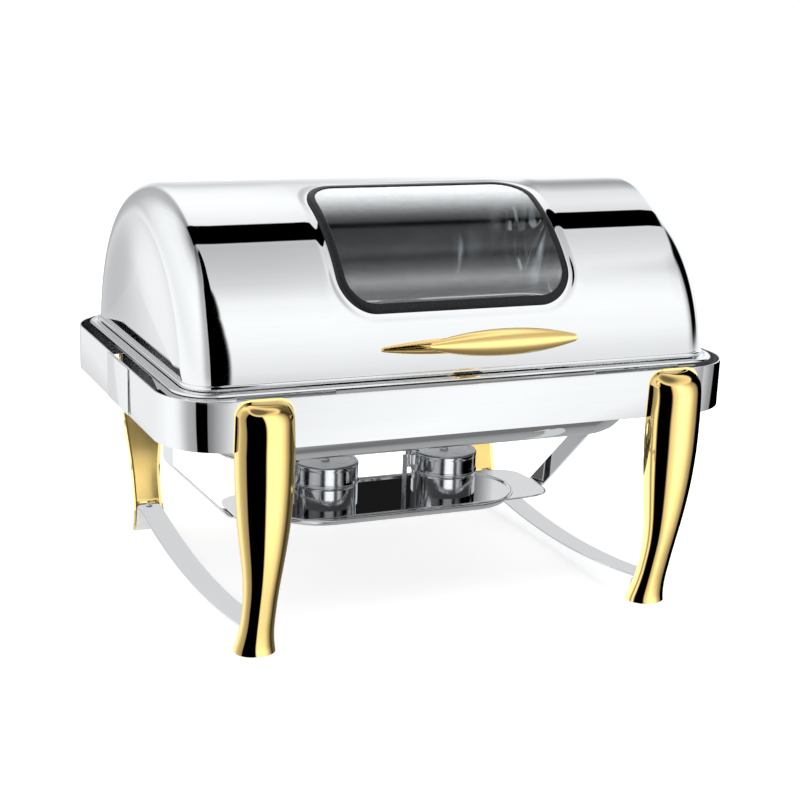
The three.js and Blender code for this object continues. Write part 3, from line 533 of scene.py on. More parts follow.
def leg_upper():
    """Rows of the pressed upper part with its flange, as (x, depth, z)."""
    rows = []
    for z in (204, 206, 209, 213, 217, 221, 225, 229, 232, 235, 237.5, 239.5, 241.5, 243.3, 245, 246.5, 247.8,
              249, 250, 250.9, 251.7, 252.4, 252.8, 253.2, 253.6, 254.0, 254.5):
        a, out, back = leg_body(min(z, SHOULDER))
        edge = leg_flange(z)
        if z > SHOULDER:
            out, a = LEG_ROOT, max(a, edge * 0.5)
        a = min(a, edge - 0.8)
        middle = edge * 0.5 + a * 0.5
        flange = [(edge, FLANGE_Y), (middle, FLANGE_Y)]
        row = [(-x, y) for x, y in flange] + leg_curve(a, out, back) + flange[::-1]
        # a soft maximum blends the raised part into the flange
        rows.append([(x, FLANGE_Y + 0.5 * (y - FLANGE_Y + math.hypot(y - FLANGE_Y, math.sqrt(0.5))) - 0.02, z)
                     for x, y in row])
    return rows


def leg_skin(build, wall):
    """Outer or inner skin of the leg; returns its open edges as one index loop."""
    rows = [build.add([(x, -y, z) for x, y, z in row]) for row in leg_shell(wall)]
    tops = [build.add([(x * (1 - wall / 60), -(y - wall), z - (wall if k > 12 else 0)) for x, y, z in row])
            for k, row in enumerate(leg_upper())]
    for group in (rows, [rows[-1], tops[0][2:-2]], tops):
        for a, b in zip(group, group[1:]):
            build.strip(a, b, closed=False)
    left = [row[0] for row in rows] + [tops[0][1]] + [row[0] for row in tops]
    right = [row[-1] for row in rows] + [tops[0][-2]] + [row[-1] for row in tops]
    return left + tops[-1][1:-1] + list(reversed(right)) + list(reversed(rows[0]))[1:-1]


def plate_section(z):
    """The flat plate that closes the leg's open side, as a four-cornered slice; narrower behind the band."""
    a, _, back = leg_body(min(z, BAND_LOW))
    half = (0.86 if z > 206 else 0.94) * (a - 1.8) - 0.8
    y = -(back + 0.5)
    return [(half, y - 1.5, z), (half, y, z), (-half, y, z), (-half, y - 1.5, z)]


def foot_section(z):
    """Slice of the foot block, which leaves room for the ankle screw's head at the back."""
    a, out, back = leg_body(z)
    trim = 3.3 if z in (-6, 18.7) else 2.7
    return [(x, -max(y, 188.5), z) for x, y in leg_curve(a - trim, out - trim, back - 6, 40)]


def leg_pieces():
    """One leg's pieces about its own middle: name, build, material, CAD node, and what else make takes."""
    shell, plate, tongue, foot, screw, bolt = (Build() for _ in range(6))
    shell.strip(leg_skin(shell, 0.0), leg_skin(shell, LEG_WALL))
    plate.loft([plate_section(z) for z in [25.5 + 4 * i for i in range(30)] + [148, 152, PLATE_SPLIT]])
    # Above the split the plate is near-black steel, painted shade where the band shades it.
    tongue.loft([plate_section(z) for z in (PLATE_SPLIT + 0.2, 165, 180, 195, 205, 209, 236)])
    foot.loft([foot_section(z) for z in (-6, -5.4, -4, -1, 3, 8, 13, 17.6, 18.7)])
    turned(screw, [(0, 8), (1.6, 8), (1.9, 8.5), (1.9, 21.3), (3.6, 21.3), (4, 21.6), (3.9, 22.3),
                   (3.2, 23.2), (2, 23.7), (1.2, 23.7), (1.2, 22.8), (0, 22.8)], (0, -195.2, 0), 40)
    for y0, y1, radius, sides in ((210.9, 219.1, 2.5, 32), (209.0, 211.6, 4.6, 32), (215.8, 218.8, 4.4, 6)):
        rod(bolt, (0, -y0, 228), (0, -y1, 228), radius, sides)
    return (("leg_", shell, GOLD, "leg_shell_", {"sharp": 50}),
            ("leg_closer_", plate, GOLD_FLAT, "leg_plate_", {"bevel": 0.3}),
            ("leg_shade_tongue_", tongue, SHADE_STEEL, None, {"bevel": 0.3}),
            ("foot_pad_", foot, NYLON, "foot_block_", {"sharp": 40}),
            ("foot_screw_", screw, ZINC, "ankle_screw_", {}),
            ("band_bolt_", bolt, ZINC, "leg_bolt_", {}))


def build_legs():
    for corner, (sx, sy) in CORNERS.items():
        turn = 1 if sy < 0 else -1
        for name, build, mat, node, finish in leg_pieces():
            build.move(0, lambda p: (sx * LEG_X + turn * p[0], turn * p[1], p[2]))
            make(name + corner, build, mat, "stand", [node + corner] if node else None, **finish)


# ------------------------------------------------------------ ribbons

def ribbon(build, path, width, thickness, across, ends=(0.0, 0.0)):
    """Flat strip along 2D points: 'across' turns (a, b, w) into a point. Ends may be rounded."""
    sections = []
    total = [0.0]
    for p, q in zip(path, path[1:]):
        total.append(total[-1] + math.dist(p, q))
    soft = 0.35                 # chamfer along the edges
    for i, (a, b) in enumerate(path):
        p, q = path[max(i - 1, 0)], path[min(i + 1, len(path) - 1)]
        length = math.dist(p, q)
        nx, ny = -(q[1] - p[1]) / length, (q[0] - p[0]) / length
        half = width / 2
        for radius, reach in zip(ends, (total[i], total[-1] - total[i])):
            if radius and reach < radius:
                half = min(half, width / 2 - radius + math.sqrt(max(radius ** 2 - (radius - reach) ** 2, 0)))
        h = thickness / 2
        ring = [(-half + soft, -h), (half - soft, -h), (half, -h + soft), (half, h - soft),
                (half - soft, h), (-half + soft, h), (-half, h - soft), (-half, -h + soft)]
        sections.append([across(a + nx * t, b + ny * t, w) for w, t in ring])
    build.loft(sections)


def rounded_line(points, radius, steps=10):
    """Open 2D line with its inner corners rounded."""
    result = [points[0]]
    for p, q, r in zip(points, points[1:], points[2:]):
        def towards(end):
            t = min(radius / math.dist(q, end), 0.49)
            return q[0] + (end[0] - q[0]) * t, q[1] + (end[1] - q[1]) * t
        a, b = towards(p), towards(r)
        for k in range(steps + 1):
            t = k / steps
            u, v, w = (1 - t) ** 2, 2 * t * (1 - t), t * t
            result.append((u * a[0] + v * q[0] + w * b[0], u * a[1] + v * q[1] + w * b[1]))
    result.append(points[-1])
    return result


def build_ribbons():
    foot, sag = 20.0, 16.5      # the stretcher's height at its ends, and how far it hangs between them
    sagging = [(-187 + 374 * i / 80, foot - sag + sag * (-1 + 2 * i / 80) ** 2) for i in range(81)]
    end = [(200.0, foot), (197.0, foot), (193.0, foot - 0.05)]
    stretcher = [(-y, z) for y, z in end] + sagging + end[::-1]

    # the hanger lies inside the band, drops and turns in at 45 degrees
    wall = BAND[0] - BAND_WALL - 1.5
    rest = TRAY_Z - 3.0
    shelf, bend = 254, 134
    tip = shelf - (bend - rest) - 26
    corners = [(wall, 247), (wall, 209), (shelf, 209), (shelf, bend), (shelf - bend + rest, rest),
               (tip, rest)]
    line = rounded_line(corners, 5)
    hanger = [line[0]] + [(wall, z) for z in (246.4, 245.4, 244, 242, 239)] + line[1:-1]
    hanger += [(tip + d, rest) for d in (6, 4, 2, 1, 0.3, 0)]

    for name, side in (("left", -1), ("right", 1)):
        build = Build()
        ribbon(build, stretcher, 27, 2, lambda a, b, w: (side * LEG_X + w, a, b), (3.0, 3.0))
        make("stretcher_" + name, build, MIRROR_Y, "stand", ["side_stretcher_" + name])
        build = Build()
        ribbon(build, hanger, 30, 2.4, lambda a, b, w: (side * a, w * side, b), (8.0, 6.0))
        make("hanger_" + name, build, MIRROR_Y, "stand", ["tray_hanger_" + name])


# ------------------------------------------------------------ pans

def rounded_skin(build, levels, steps):
    """Skin through rounded rectangles given as (half length, half width, corner radius, height)."""
    build.loft([outline(hx, hy, r, z, steps) for hx, hy, r, z in levels])


def build_water_pan():
    hx, hy, c = RIM
    floor = PAN_FLOOR + 1.2
    inside = [(200, 104, 34, floor), (208, 112, 37, floor + 0.2), (215, 119, 42, floor + 1.2),
              (222, 126, 48, floor + 3.6), (228, 132, 52, floor + 7.6), (233, 137, 55, floor + 13.5),
              (236, 140, 56, floor + 20.5), (238, 142, 57, floor + 29), (242.6, 144.8, 57.6, 201),
              (247.5, 147.5, 58, 212), (251.6, 150.4, 55, 230), (255.6, 153.4, 52, 247),
              (256.4, 154.2, 51, 250.6), (257.2, 155, 50.6, 252.0), (258.5, 156.3, 50, 252.6),
              (262, 160, 49, 252.7), (272, 170, 47, 252.6), (275.4, 173.3, 46, 252.8),
              (276.8, 175, 45.4, 253.6), (278, 176.6, 44.6, 255.2), (279.2, 178, 44, 255.9),
              (281, 180, 43.6, SEAT_Z)]
    lip = [(8.6, SEAT_Z), (7.8, SEAT_Z - 0.1), (7.2, SEAT_Z - 0.5), (6.7, SEAT_Z - 0.9), (6.2, SEAT_Z - 1.05),
           (5.7, SEAT_Z - 0.85), (5.2, SEAT_Z - 0.3)]
    lip += [(3.0 - 2.9 * math.cos(a * RAD), 253.75 + 2.85 * math.sin(a * RAD)) for a in range(140, -81, -20)]
    lip += [(3.6, 249.6), (5.0, 249.9), (5.8, 251.0), (6.4, 252.6), (7.4, 254.0), (9.2, 254.6)]
    outside = [(280.6, 179.6, 44, 254.6), (278.8, 177.4, 45, 253.9), (277.4, 175.4, 46, 251.6),
               (275.8, 173.8, 46.4, 251.25), (262, 160, 49, 251.3), (259.8, 157.6, 50.6, 251.0),
               (258.2, 155.9, 52, 249.6), (257, 154.8, 53, 246.8), (252.9, 151.8, 56, 230),
               (248.8, 148.8, 58, 212), (243.9, 146, 57.6, 201), (239.3, 143.3, 57, floor + 28.6),
               (237.4, 141.4, 56.4, floor + 20), (234.3, 138.3, 55, floor + 12.8),
               (229.2, 133.2, 52, floor + 6.6), (222.8, 126.8, 48, PAN_FLOOR + 3.5),
               (215.6, 119.6, 42, PAN_FLOOR + 1.2), (208.4, 112.4, 37, PAN_FLOOR + 0.2),
               (200, 104, 34, PAN_FLOOR)]
    build = Build()
    rounded_skin(build, inside + [(hx - d, hy - d, c, z) for d, z in lip] + outside, 24)
    make("water_pan_deep", build, MIRROR, "stand", ["water_pan"], sharp=55)


def build_food_pan():
    fx, fy = FOOD_RIM
    under = 252.9
    top = under + 1.2
    base = top - 65
    levels = [(216, 114, 24, base + 1), (222, 120, 28, base + 1.2), (228, 126, 33, base + 2.2),
              (234, 131.5, 38, base + 5), (236.6, 134, 40, base + 9), (238.5, 136, 42, base + 14),
              (244, 141.5, 43, base + 36), (249.5, 147, 44, top - 6), (250.2, 147.8, 44, top - 2.4),
              (251, 148.6, 44, top - 0.9), (252.5, 150, 44, top - 0.1), (255, 152.5, 40, top),
              (fx - 6, fy - 6, 22, top + 0.1), (fx - 4, fy - 4, 21, top + 0.5),
              (fx - 2, fy - 2, 20, top + 0.8), (fx - 0.6, fy - 0.6, 20, top + 0.4), (fx, fy, 20, top - 0.2),
              (fx, fy, 20, under + 0.2), (fx - 0.6, fy - 0.6, 20, under), (fx - 2.5, fy - 2.5, 20, under),
              (254, 151, 43, under), (251.6, 149.1, 44, top - 2.6), (250.7, 148.2, 44, top - 6.4),
              (245.2, 142.7, 43, base + 36), (239.7, 137.2, 42, base + 13.6),
              (237.8, 135.2, 40, base + 8.2), (235, 132.5, 38, base + 3.9), (228.6, 126.6, 33, base + 1.1),
              (222, 120, 28, base + 0.1), (216, 114, 24, base)]
    build = Build()
    rounded_skin(build, levels, 20)
    make("food_pan_gn", build, PRESSED, "food_pan", ["food_pan"], sharp=50)


def build_bumper():
    y = 6.6 - RIM[1]
    build = Build()
    block(build, -14, 14, y - 1.6, y + 1.6, SEAT_Z + 0.9, SEAT_Z + 3)
    make("rim_bumper", build, RUBBER, "stand", ["lid_bumper"], bevel=0.7, segments=3)


# ------------------------------------------------------------ tray and burners

def build_tray():
    quarter = [(186.0, 0.0), (186.0, 14.0), (185.8, 22.0), (185.2, 29.0), (183.6, 35.5), (180.6, 41.0),
               (176.0, 45.6), (170.0, 49.2), (162.0, 52.0), (150.0, 54.0), (130.0, 55.0)]
    right = [(x, -y) for x, y in reversed(quarter)] + quarter[1:]
    rim = right + [(-x, -y) for x, y in right]
    build = Build()
    edge = [(4.0, 0), (2.4, 0), (1.6, 0), (0.6, -0.12), (0, -0.6), (0.1, -1.2), (0.8, -1.5), (1.6, -1.5),
            (3.0, -1.5)]
    build.loft([[(x * (1 - shrink / 186), y * (1 - shrink / 55), TRAY_Z + z) for x, y in rim]
                for shrink, z in edge])
    inner = [(134, -6.8), (137, -6.8), (139.4, -6.8), (142.0, -6.2), (143.8, -4.9), (144.9, -3.2),
             (145.8, -1.2), (146.4, 0.3), (147.1, 1.2), (148.1, 1.7), (149.4, 1.7), (150.4, 1.3),
             (151.0, 0.6), (151.0, -0.4), (150.4, -1.2)]
    outer = [(148.0, -1.6), (146.8, -3.4), (145.6, -5.4), (143.6, -7.2), (140.6, -8.0), (139, -8.0),
             (136, -8.0)]
    build.loft([outline(x, x - 84, x - 84.1, TRAY_Z + z, 32) for x, z in inner + outer])
    make("burner_tray_dish", build, MIRROR, "burner_tray", ["burner_tray"], sharp=45)


def cup(cx):
    """Cup with a bead line round it, and the fluted barrel that holds the damper's pin."""
    h, r, w = CUP_H, CUP_R, CUP_WALL
    px = cx + PIVOT
    build = Build()
    profile = [(0, 0), (r - 4.4, 0)] + arc(r - 4.0, 3.6, 3.6, -90, 0, 6)
    profile += [(r - 0.4, h * 0.54), (r - 0.1, h * 0.556)] + arc(r - 0.6, h * 0.605, 1.5, -62, 62, 8)
    profile += [(r - 0.1, h * 0.654), (r - 0.4, h * 0.67), (r - 0.4, h - 4.4), (r - 0.2, h - 3.6),
                (r, h - 2.8), (r, h - 0.9)] + arc(r - 0.9, h - 0.9, 0.9, 0, 90, 4)[1:]
    profile += [(r - 4.0, h), (r - 4.4, h - 0.4), (r - 4.4, h - w), (r - w - 0.9, h - w - 0.1),
                (r - w - 0.4, h - w - 0.6), (r - w - 0.4, w + 1.6), (r - w - 1.6, w + 0.2), (0, w)]
    turned(build, profile, (cx, 0, CUP_BASE), 96)

    def fluted(p):
        x, y, z = p[0] - px, p[1], p[2]
        k = 0.97 + 0.03 * math.cos(24 * math.atan2(y, x)) if math.hypot(x, y) > 3.7 else 1
        return px + x * k, y * k, z

    start = len(build.points)
    barrel = [(2.3, h - 14), (3.5, h - 14), (3.9, h - 13.5), (3.9, h - 1.5), (3.5, h - 1), (2.3, h - 1)]
    turned(build, barrel + barrel[:1], (px, 0, CUP_BASE), 48)
    build.move(start, fluted)
    block(build, px + 3.5, cx - r + 0.9, -1.5, 1.5, CUP_BASE + h - 14, CUP_BASE + h - 3)
    return build


def cup_grip(cx):
    """Strip handle, from under the cup up to its barrel."""
    foot = CUP_BASE + 1.9
    grip = cx + PIVOT - 4.1
    build = Build()
    line = [(cx - CUP_R + 1.5, foot), (grip, foot), (grip, CUP_BASE + CUP_H - 3)]
    ribbon(build, rounded_line(line, 1.4, 6), 10, 1.4, lambda a, b, c: (a, c, b))
    return build


def gel_can(cx):
    r, h = CUP_R - CUP_WALL - 1, CUP_H - 5
    build = Build()
    turned(build, [(0, 1.5), (r - 1.6, 1.5), (r - 0.6, 2.4), (r - 0.6, h - 2.6), (r, h - 1.6), (r, h - 0.6),
                   (r - 0.6, h), (r - 5.4, h), (r - 6, h - 0.6), (r - 6, h - 3), (0, h - 3)],
           (cx, 0, CUP_BASE), 72)
    return build


def damper_disc(cx):
    """Lid with a knob, an arm and an eye on the pin."""
    r, px = CUP_R, cx + PIVOT
    z = CUP_BASE + CUP_H + 0.3
    build = Build()
    turned(build, [(0, 0), (r - 1.6, 0), (r - 1.1, 0.3), (r - 1.0, 0.8), (r - 1.4, 1.2), (r - 5.6, 1.2),
                   (r - 6.6, 1.0), (r - 7.4, 0.7), (5.6, 0.7), (5, 1.0), (4.8, 2.0), (4.2, 2.8), (3.2, 3.2),
                   (0, 3.2)], (cx, 0, z), 96)
    block(build, px, cx - r + 5, -3.4, 3.4, z, z + 1.2)
    turned(build, [(0, 0), (3.6, 0), (3.9, 0.3), (3.9, 0.9), (3.6, 1.2), (0, 1.2)], (px, 0, z), 40)
    return build


def damper_rivet(cx):
    foot, top = CUP_H - 15.9, CUP_H + 1.8
    build = Build()
    turned(build, [(0, foot), (2.6, foot), (2.9, foot + 0.4), (2.9, foot + 1.6), (1.9, foot + 1.6),
                   (1.9, top), (3.2, top), (3.4, top + 0.3), (3.2, top + 0.9), (2.4, top + 1.4),
                   (0, top + 1.6)],
           (cx + PIVOT, 0, CUP_BASE), 40)
    return build


def build_burners():
    for hand, cx in CUPS.items():
        fuel = "fuel_" + hand
        make("fuel_cup_" + hand, cup(cx), CUP, fuel, ["fuel_holder_" + hand], sharp=35)
        make("cup_grip_" + hand, cup_grip(cx), SATIN, fuel, None)
        make("gel_can_" + hand, gel_can(cx), TIN, fuel, ["fuel_can_" + hand], sharp=40)
        lid = "damper_" + hand
        make("damper_disc_" + hand, damper_disc(cx), SATIN, lid, ["damper_lid_" + hand], sharp=40)
        make("damper_rivet_" + hand, damper_rivet(cx), ZINC, fuel, ["damper_pin_" + hand], sharp=40)


# ------------------------------------------------------------ cover

def on_arc(x, radius, degrees):
    """Point on a barrel about the cover's axis; the angle runs up and back from the front."""
    t = degrees * RAD
    return (x, -radius * math.cos(t), COVER_AXIS + radius * math.sin(t))


def about_window(x, radius, along):
    """Point on the barrel beside the window's middle, 'along' measured up the cover."""
    return on_arc(x, radius, WINDOW_ANGLE + math.asin(along / radius) / RAD)


def lowest(radius):
    """Angle at which a barrel of this radius meets the cover's bottom edge."""
    return math.asin((COVER_BOTTOM - COVER_AXIS) / radius) / RAD


def window_outline(grow):
    """Points of the rounded window outline, grown, in step with the sides of the cover's grid about it."""
    hx, hy, r = (size + grow for size in WINDOW)
    quarter = r * math.pi / 4
    centre = (hx - r, hy - r)
    nx, ny = WINDOW_GRID
    points = []
    sides = ((nx, 2 * (hx - r), (1, 0), (0, -1)), (ny, 2 * (hy - r), (0, 1), (1, 0)),
             (nx, 2 * (hx - r), (-1, 0), (0, 1)), (ny, 2 * (hy - r), (0, -1), (-1, 0)))
    for count, straight, along, out in sides:
        total = straight + 2 * quarter
        for i in range(count):
            s = total * i / count
            t, k = 0, (s - quarter) / straight * 2 - 1
            if s < quarter:
                t, k = (s / quarter - 1) * math.pi / 4, -1
            elif s > quarter + straight:
                t, k = (s - quarter - straight) / quarter * math.pi / 4, 1
            points.append(tuple(centre[c] * (along[c] * k + out[c])
                                + r * (out[c] * math.cos(t) + along[c] * math.sin(t)) for c in (0, 1)))
    return points


def smooth_step(t):
    t = min(max(t, 0.0), 1.0)
    return t * t * (3 - 2 * t)


def steps_between(a, b, count):
    """Evenly spaced values from a up to, and without, b."""
    return [a + (b - a) * i / count for i in range(count)]


def cover_skin(build, wall):
    """One skin of the cover, 'wall' inside its outer face. Returns the window edge and the grid of points."""
    nx, ny = WINDOW_GRID
    half, reach = 142.0, 101.0      # half length and half chord of the grid's hole about the window
    delta = math.asin(reach / COVER_R) / RAD
    flank = COVER_HALF - FILLET
    corner = [(-(flank + (FILLET - wall) * math.cos(t * math.pi / 2)),
               COVER_R - FILLET + (FILLET - wall) * math.sin(t * math.pi / 2))
              for t in steps_between(0, 1, 14)]
    left = len(corner) + 8
    right = left + nx
    straight = steps_between(-flank, -half, 8) + steps_between(-half, half, nx)
    straight += steps_between(half, flank, 8) + [flank]
    columns = corner + [(x, COVER_R - wall) for x in straight] + [(-x, r) for x, r in reversed(corner)]
    low = lowest(COVER_R)
    span = 180 - 2 * low
    under, over = 10, 10 + ny
    a0, a1 = WINDOW_ANGLE - delta, WINDOW_ANGLE + delta
    rows = steps_between(low, a0, under) + steps_between(a0, a1, ny)
    rows += steps_between(a1, 180 - low, 56) + [180 - low]

    def column(x, r):
        start = lowest(r)
        return build.add([on_arc(x, r, start + (deg - low) / span * (180 - 2 * start)) for deg in rows])

    grid = [column(x, r) for x, r in columns]
    for i in range(len(columns) - 1):
        for j in range(len(rows) - 1):
            if not (left <= i < right and under <= j < over):
                build.faces.append((grid[i][j], grid[i + 1][j], grid[i + 1][j + 1], grid[i][j + 1]))
    edge = [grid[i][under] for i in range(left, right)] + [grid[right][j] for j in range(under, over)]
    edge += [grid[i][over] for i in range(right, left, -1)] + [grid[left][j] for j in range(over, under, -1)]
    for grow in [19.5 - 0.8 * i for i in range(13)] + [9, 6, 3, 1, 0]:
        r = COVER_R - wall - RECESS * (1 - smooth_step((grow - 9.6) / 9.4))
        loop = build.add([about_window(x, r, u) for x, u in window_outline(grow)])
        build.strip(edge, loop)
        edge = loop
    middle = COVER_BOTTOM + 75.0
    for k, side in ((0, -1), (-1, 1)):
        x, r = columns[k]
        inset = column(x, r - 1.5)
        build.strip(grid[k], inset, closed=False)
        ring = inset
        for share in (0.93, 0.86, 0.78, 0.7, 0.6, 0.5, 0.4, 0.3, 0.2, 0.1):
            swell = side * END_SWELL * (1 - share ** 2) ** 2
            inner = build.add([(px + swell, py * share, middle + (pz - middle) * share)
                               for px, py, pz in (build.points[p] for p in inset)])
            build.strip(ring, inner)
            ring = inner
        build.faces.append(tuple(ring))
    return edge, grid


def build_cover():
    build = Build()
    outer_edge, outer = cover_skin(build, 0.0)
    inner_edge, inner = cover_skin(build, COVER_WALL)
    build.strip(outer_edge, inner_edge)
    for j in (0, -1):
        build.strip([c[j] for c in outer], [c[j] for c in inner], closed=False)
    make("cover_dome", build, MIRROR, "cover", ["cover_shell"], sharp=60)

    build = Build()
    side = COVER_HALF + 2.2
    deep = math.sqrt(COVER_R ** 2 - (COVER_BOTTOM - COVER_AXIS) ** 2) + 2.2
    bead = [(4.2, 0.4), (3.2, 0.0), (1.0, 0.0), (0.3, 0.4), (0.0, 1.1), (0.0, 3.4), (0.4, 4.4), (1.3, 5.0),
            (2.4, 5.0), (3.4, 4.2)]
    build.loft([outline(side - d, deep - d, 32 - d, COVER_BOTTOM + z, 20) for d, z in smoothed(bead, 1)],
               endless=True)
    make("cover_hem", build, MIRROR, "cover", None, sharp=50)


def build_window():
    seat = COVER_R - RECESS
    build = Build()
    lip = [(0.4, 0.3), (0.4, 2.4), (1.2, 3.4), (4.6, 3.4), (7.4, 2.9), (8.5, 1.6), (8.5, 0.3)]
    build.loft([[about_window(x, seat + rise, u) for x, u in window_outline(grow)]
                for grow, rise in smoothed(lip, 2)], endless=True)
    make("window_seal", build, RUBBER, "cover", ["window_gasket"], sharp=70)

    build = Build()
    hx, hy, rc = (size + 5 for size in WINDOW)
    turns = [math.pi / 2 * i / 12 for i in range(13)]
    rows = [(-(hy - rc) - rc * math.cos(t), hx - rc + rc * math.sin(t)) for t in turns]
    rows += [(u, hx) for u in steps_between(-(hy - rc), hy - rc, 24)[1:]]
    rows += [(-u, x) for u, x in reversed(rows[:13])]
    skins = []
    for radius in (seat + 1.2, seat + 2.6):
        grid = [build.add([about_window(half * (-1 + 2 * k / 40), radius, u) for k in range(41)])
                for u, half in rows]
        for a, b in zip(grid, grid[1:]):
            build.strip(a, b, closed=False)
        inner = grid[1:-1]
        skins.append(grid[0] + [g[-1] for g in inner] + grid[-1][::-1] + [g[0] for g in reversed(inner)])
    build.strip(*skins)
    make("window_pane", build, GLASS, "cover", ["window_glass"], sharp=60)


def build_handle():
    turns = [2 * math.pi * i / 48 for i in range(48)]
    tilt = Matrix.Rotation(-HANDLE_ANGLE * RAD, 3, "X")
    centre = Vector(on_arc(HANDLE_X, COVER_R + 60, HANDLE_ANGLE))
    half, thick = 79.0, 13.0        # half length and half height of the spindle
    build = Build()
    sections = []
    for i in range(73):
        t = -math.cos(math.pi * i / 72)
        swell = thick * (0.24 + 0.76 * (1 - abs(t) ** 2.1))
        if abs(t) > 0.955:
            swell *= math.sqrt(max(1 - ((abs(t) - 0.955) / 0.045) ** 2, 0.0))
        swell = max(swell, 0.05)
        ring = [Vector((t * half, swell * 0.78 * math.cos(a), swell * math.sin(a))) for a in turns]
        sections.append([tuple(centre + tilt @ point) for point in ring])
    build.loft(sections)
    make("handle_spindle", build, GOLD, "cover", ["handle_bar"], sharp=60)

    levels = smoothed([(0.6, 17, 10), (1.6, 17, 10), (3, 16, 9), (6, 14, 7.6), (14, 12.4, 6.6), (26, 12, 6.4),
                       (38, 12.6, 6.6), (48, 14, 7.4), (52, 15, 8)], 2, closed=False)
    turn = Matrix.Rotation((90 - HANDLE_ANGLE) * RAD, 3, "X")
    foot = Vector((HANDLE_X, 0, COVER_AXIS))
    build = Build()
    build.loft([[tuple(turn @ Vector((a * math.cos(t), b * math.sin(t), COVER_R + h)) + foot) for t in turns]
                for h, a, b in levels])
    make("handle_post", build, GOLD, "cover", ["handle_stem"], sharp=60)


# ------------------------------------------------------------ run

def finish_cad(node, mat):
    """A CAD node that keeps its own shape gets a detailed finish."""
    mesh = frame["nodes"][node].data
    mesh.materials.clear()
    mesh.materials.append(mat)


build_band()
build_legs()
build_ribbons()
build_water_pan()
build_food_pan()
build_bumper()
build_tray()
build_burners()
build_cover()
build_window()
build_handle()

for corner in CORNERS:
    finish_cad("pan_bracket_" + corner, SATIN)
for hand in CUPS:
    finish_cad("hinge_leaf_frame_" + hand, SATIN)
    finish_cad("hinge_leaf_cover_" + hand, SATIN)
    finish_cad("hinge_pin_" + hand, ZINC)
finish_cad("handle_screw", ZINC)


# ------------------------------------------------------------ stage, light and camera

def link_object(name, data):
    """New object of the scene."""
    thing = bpy.data.objects.new(name, data)
    bpy.context.scene.collection.objects.link(thing)
    return thing


def stage():
    mesh = bpy.data.meshes.new("floor")
    size = 40.0
    corners = [(-size, -size, 0), (size, -size, 0), (size, size, 0), (-size, size, 0)]
    mesh.from_pydata(corners, [], [(0, 1, 2, 3)])
    floor = link_object("floor", mesh)
    mat, kit, shader, coords = material("floor_pale")
    grain = kit.noise(coords, 3.0, 2.0)
    kit.link(kit.ramp(grain, (0.92, 0.92, 0.92), (0.935, 0.935, 0.935)), shader.inputs["Base Color"])
    settings(shader, {"Roughness": 0.9, "Specular IOR Level": 0.0, "Emission Color": (1, 1, 1, 1),
                      "Emission Strength": 0.42})
    mesh.materials.append(mat)
    floor.visible_glossy = False


# Brightness tables, 0 black to 1 white as the eye sees it. AROUND, LOW and LEGS go by azimuth (0 is the
# front, 90 the right end) and OVER by elevation. BARREL and PANE_OVER go by the angle up from the front and
# over to the back. FRONT gives the azimuth of the front flag's two edges by elevation.
# The numbers come from the photograph: its mean brightness was listed by the direction that each surface
# reflects, and these stops were picked from the lists, then tuned against renders of the main view.
EYE_GAMMA = 2.2
BAND_AROUND = [(-180, .83), (-170, .84), (-166, .91), (-150, .925), (-130, .945), (-112, .975), (-97, .97),
               (-88, .92), (-79, .79), (-70, .67), (-59, .62), (-56.5, .6), (-55.5, 0), (-37.5, 0),
               (-36, .48), (-30, .52), (-22, .62), (-10, .73), (0, .82), (8, .88), (19, .93), (26, .98),
               (34, .95), (42, .72), (58, .62), (62, .76), (72, .67), (82, .57), (90, .56), (95, 0),
               (143, 0), (146, .6)]
WALL_LOW = [(-180, .68), (-171, .7), (-167, .75), (-164, .86), (-161, .93), (-150, .97), (-40, .96),
            (-26, .9), (0, .75), (14, .76), (24, .86), (60, .9), (100, .9), (150, .98), (180, .68)]
WALL_AROUND = [(-180, .68), (-166, .72), (-158, .82), (-150, .92), (-140, .95), (-110, .96), (-86, .97),
               (-74, .98), (-56, .99), (-48, .96), (-42, .88), (-36, .78), (-30, .71), (-20, .68), (0, .7)]
BARREL_NEAR = [(-10, .82), (6, .9), (24, .965), (36, .98), (48, .95), (60, .82), (72, .76), (88, .71),
               (108, .92), (120, .97), (132, .99), (144, .97), (150, .94), (156, .87), (162, .8), (176, .9)]
BARREL_FAR = [(-10, .86), (6, .9), (18, .96), (36, .98), (48, .965), (60, .93), (72, .87), (88, .81),
              (110, .87), (120, .91), (132, .87), (140, .7), (146, .6), (151, .7), (157, .96), (176, 1.0)]
END_AROUND = [(40, 1.0), (48, .95), (54, .84), (60, .76), (64, .62), (68, .3), (71, 0), (92, 0), (95, .3),
              (98, .82), (102, 1.0)]
FRONT_LEFT = [(0, -19), (30, -19), (40, -18), (56, -13), (66, -2), (75, 6), (85, 20)]
FRONT_RIGHT = [(0, 15.5), (20, 16.5), (28, 17), (38, 18.2), (47, 20.8), (56, 24), (65, 30), (75, 45),
               (85, 65)]
LEFT_LEGS = [(-180, .9), (-160, .72), (-150, .9), (-134, .81), (-126, .68), (-110, .58), (-90, .52),
             (-84, .4), (-81.5, 0), (2, 0), (4.5, .6), (9, .93), (24, .95), (36, .9), (50, .76), (60, .6),
             (70, .48), (76, .3), (88, .18), (96, .28), (126, .34), (138, .45), (152, .62), (166, .8),
             (180, .9)]
RIGHT_LEGS = [(-180, .9), (-150, 1.0), (-126, 1.0), (-117, .76), (-111, .45), (-103, .8), (-94, .88),
              (-89, .62), (-83, .1), (-81.5, 0), (-23.5, 0), (-18, .22), (-14, .6), (-8, .74), (6, .82),
              (14, .92), (22, 1.0), (32, .98), (42, .84), (50, .7), (58, .58), (70, .48), (75, .33),
              (80, .05), (82, 0), (144, 0), (152, .6), (180, .9)]
HANDLE_OVER = [(-60, .4), (-45, .45), (-30, .56), (-15, .84), (0, 1.0), (15, .92), (30, .69), (45, .64),
               (60, .9), (75, .7)]
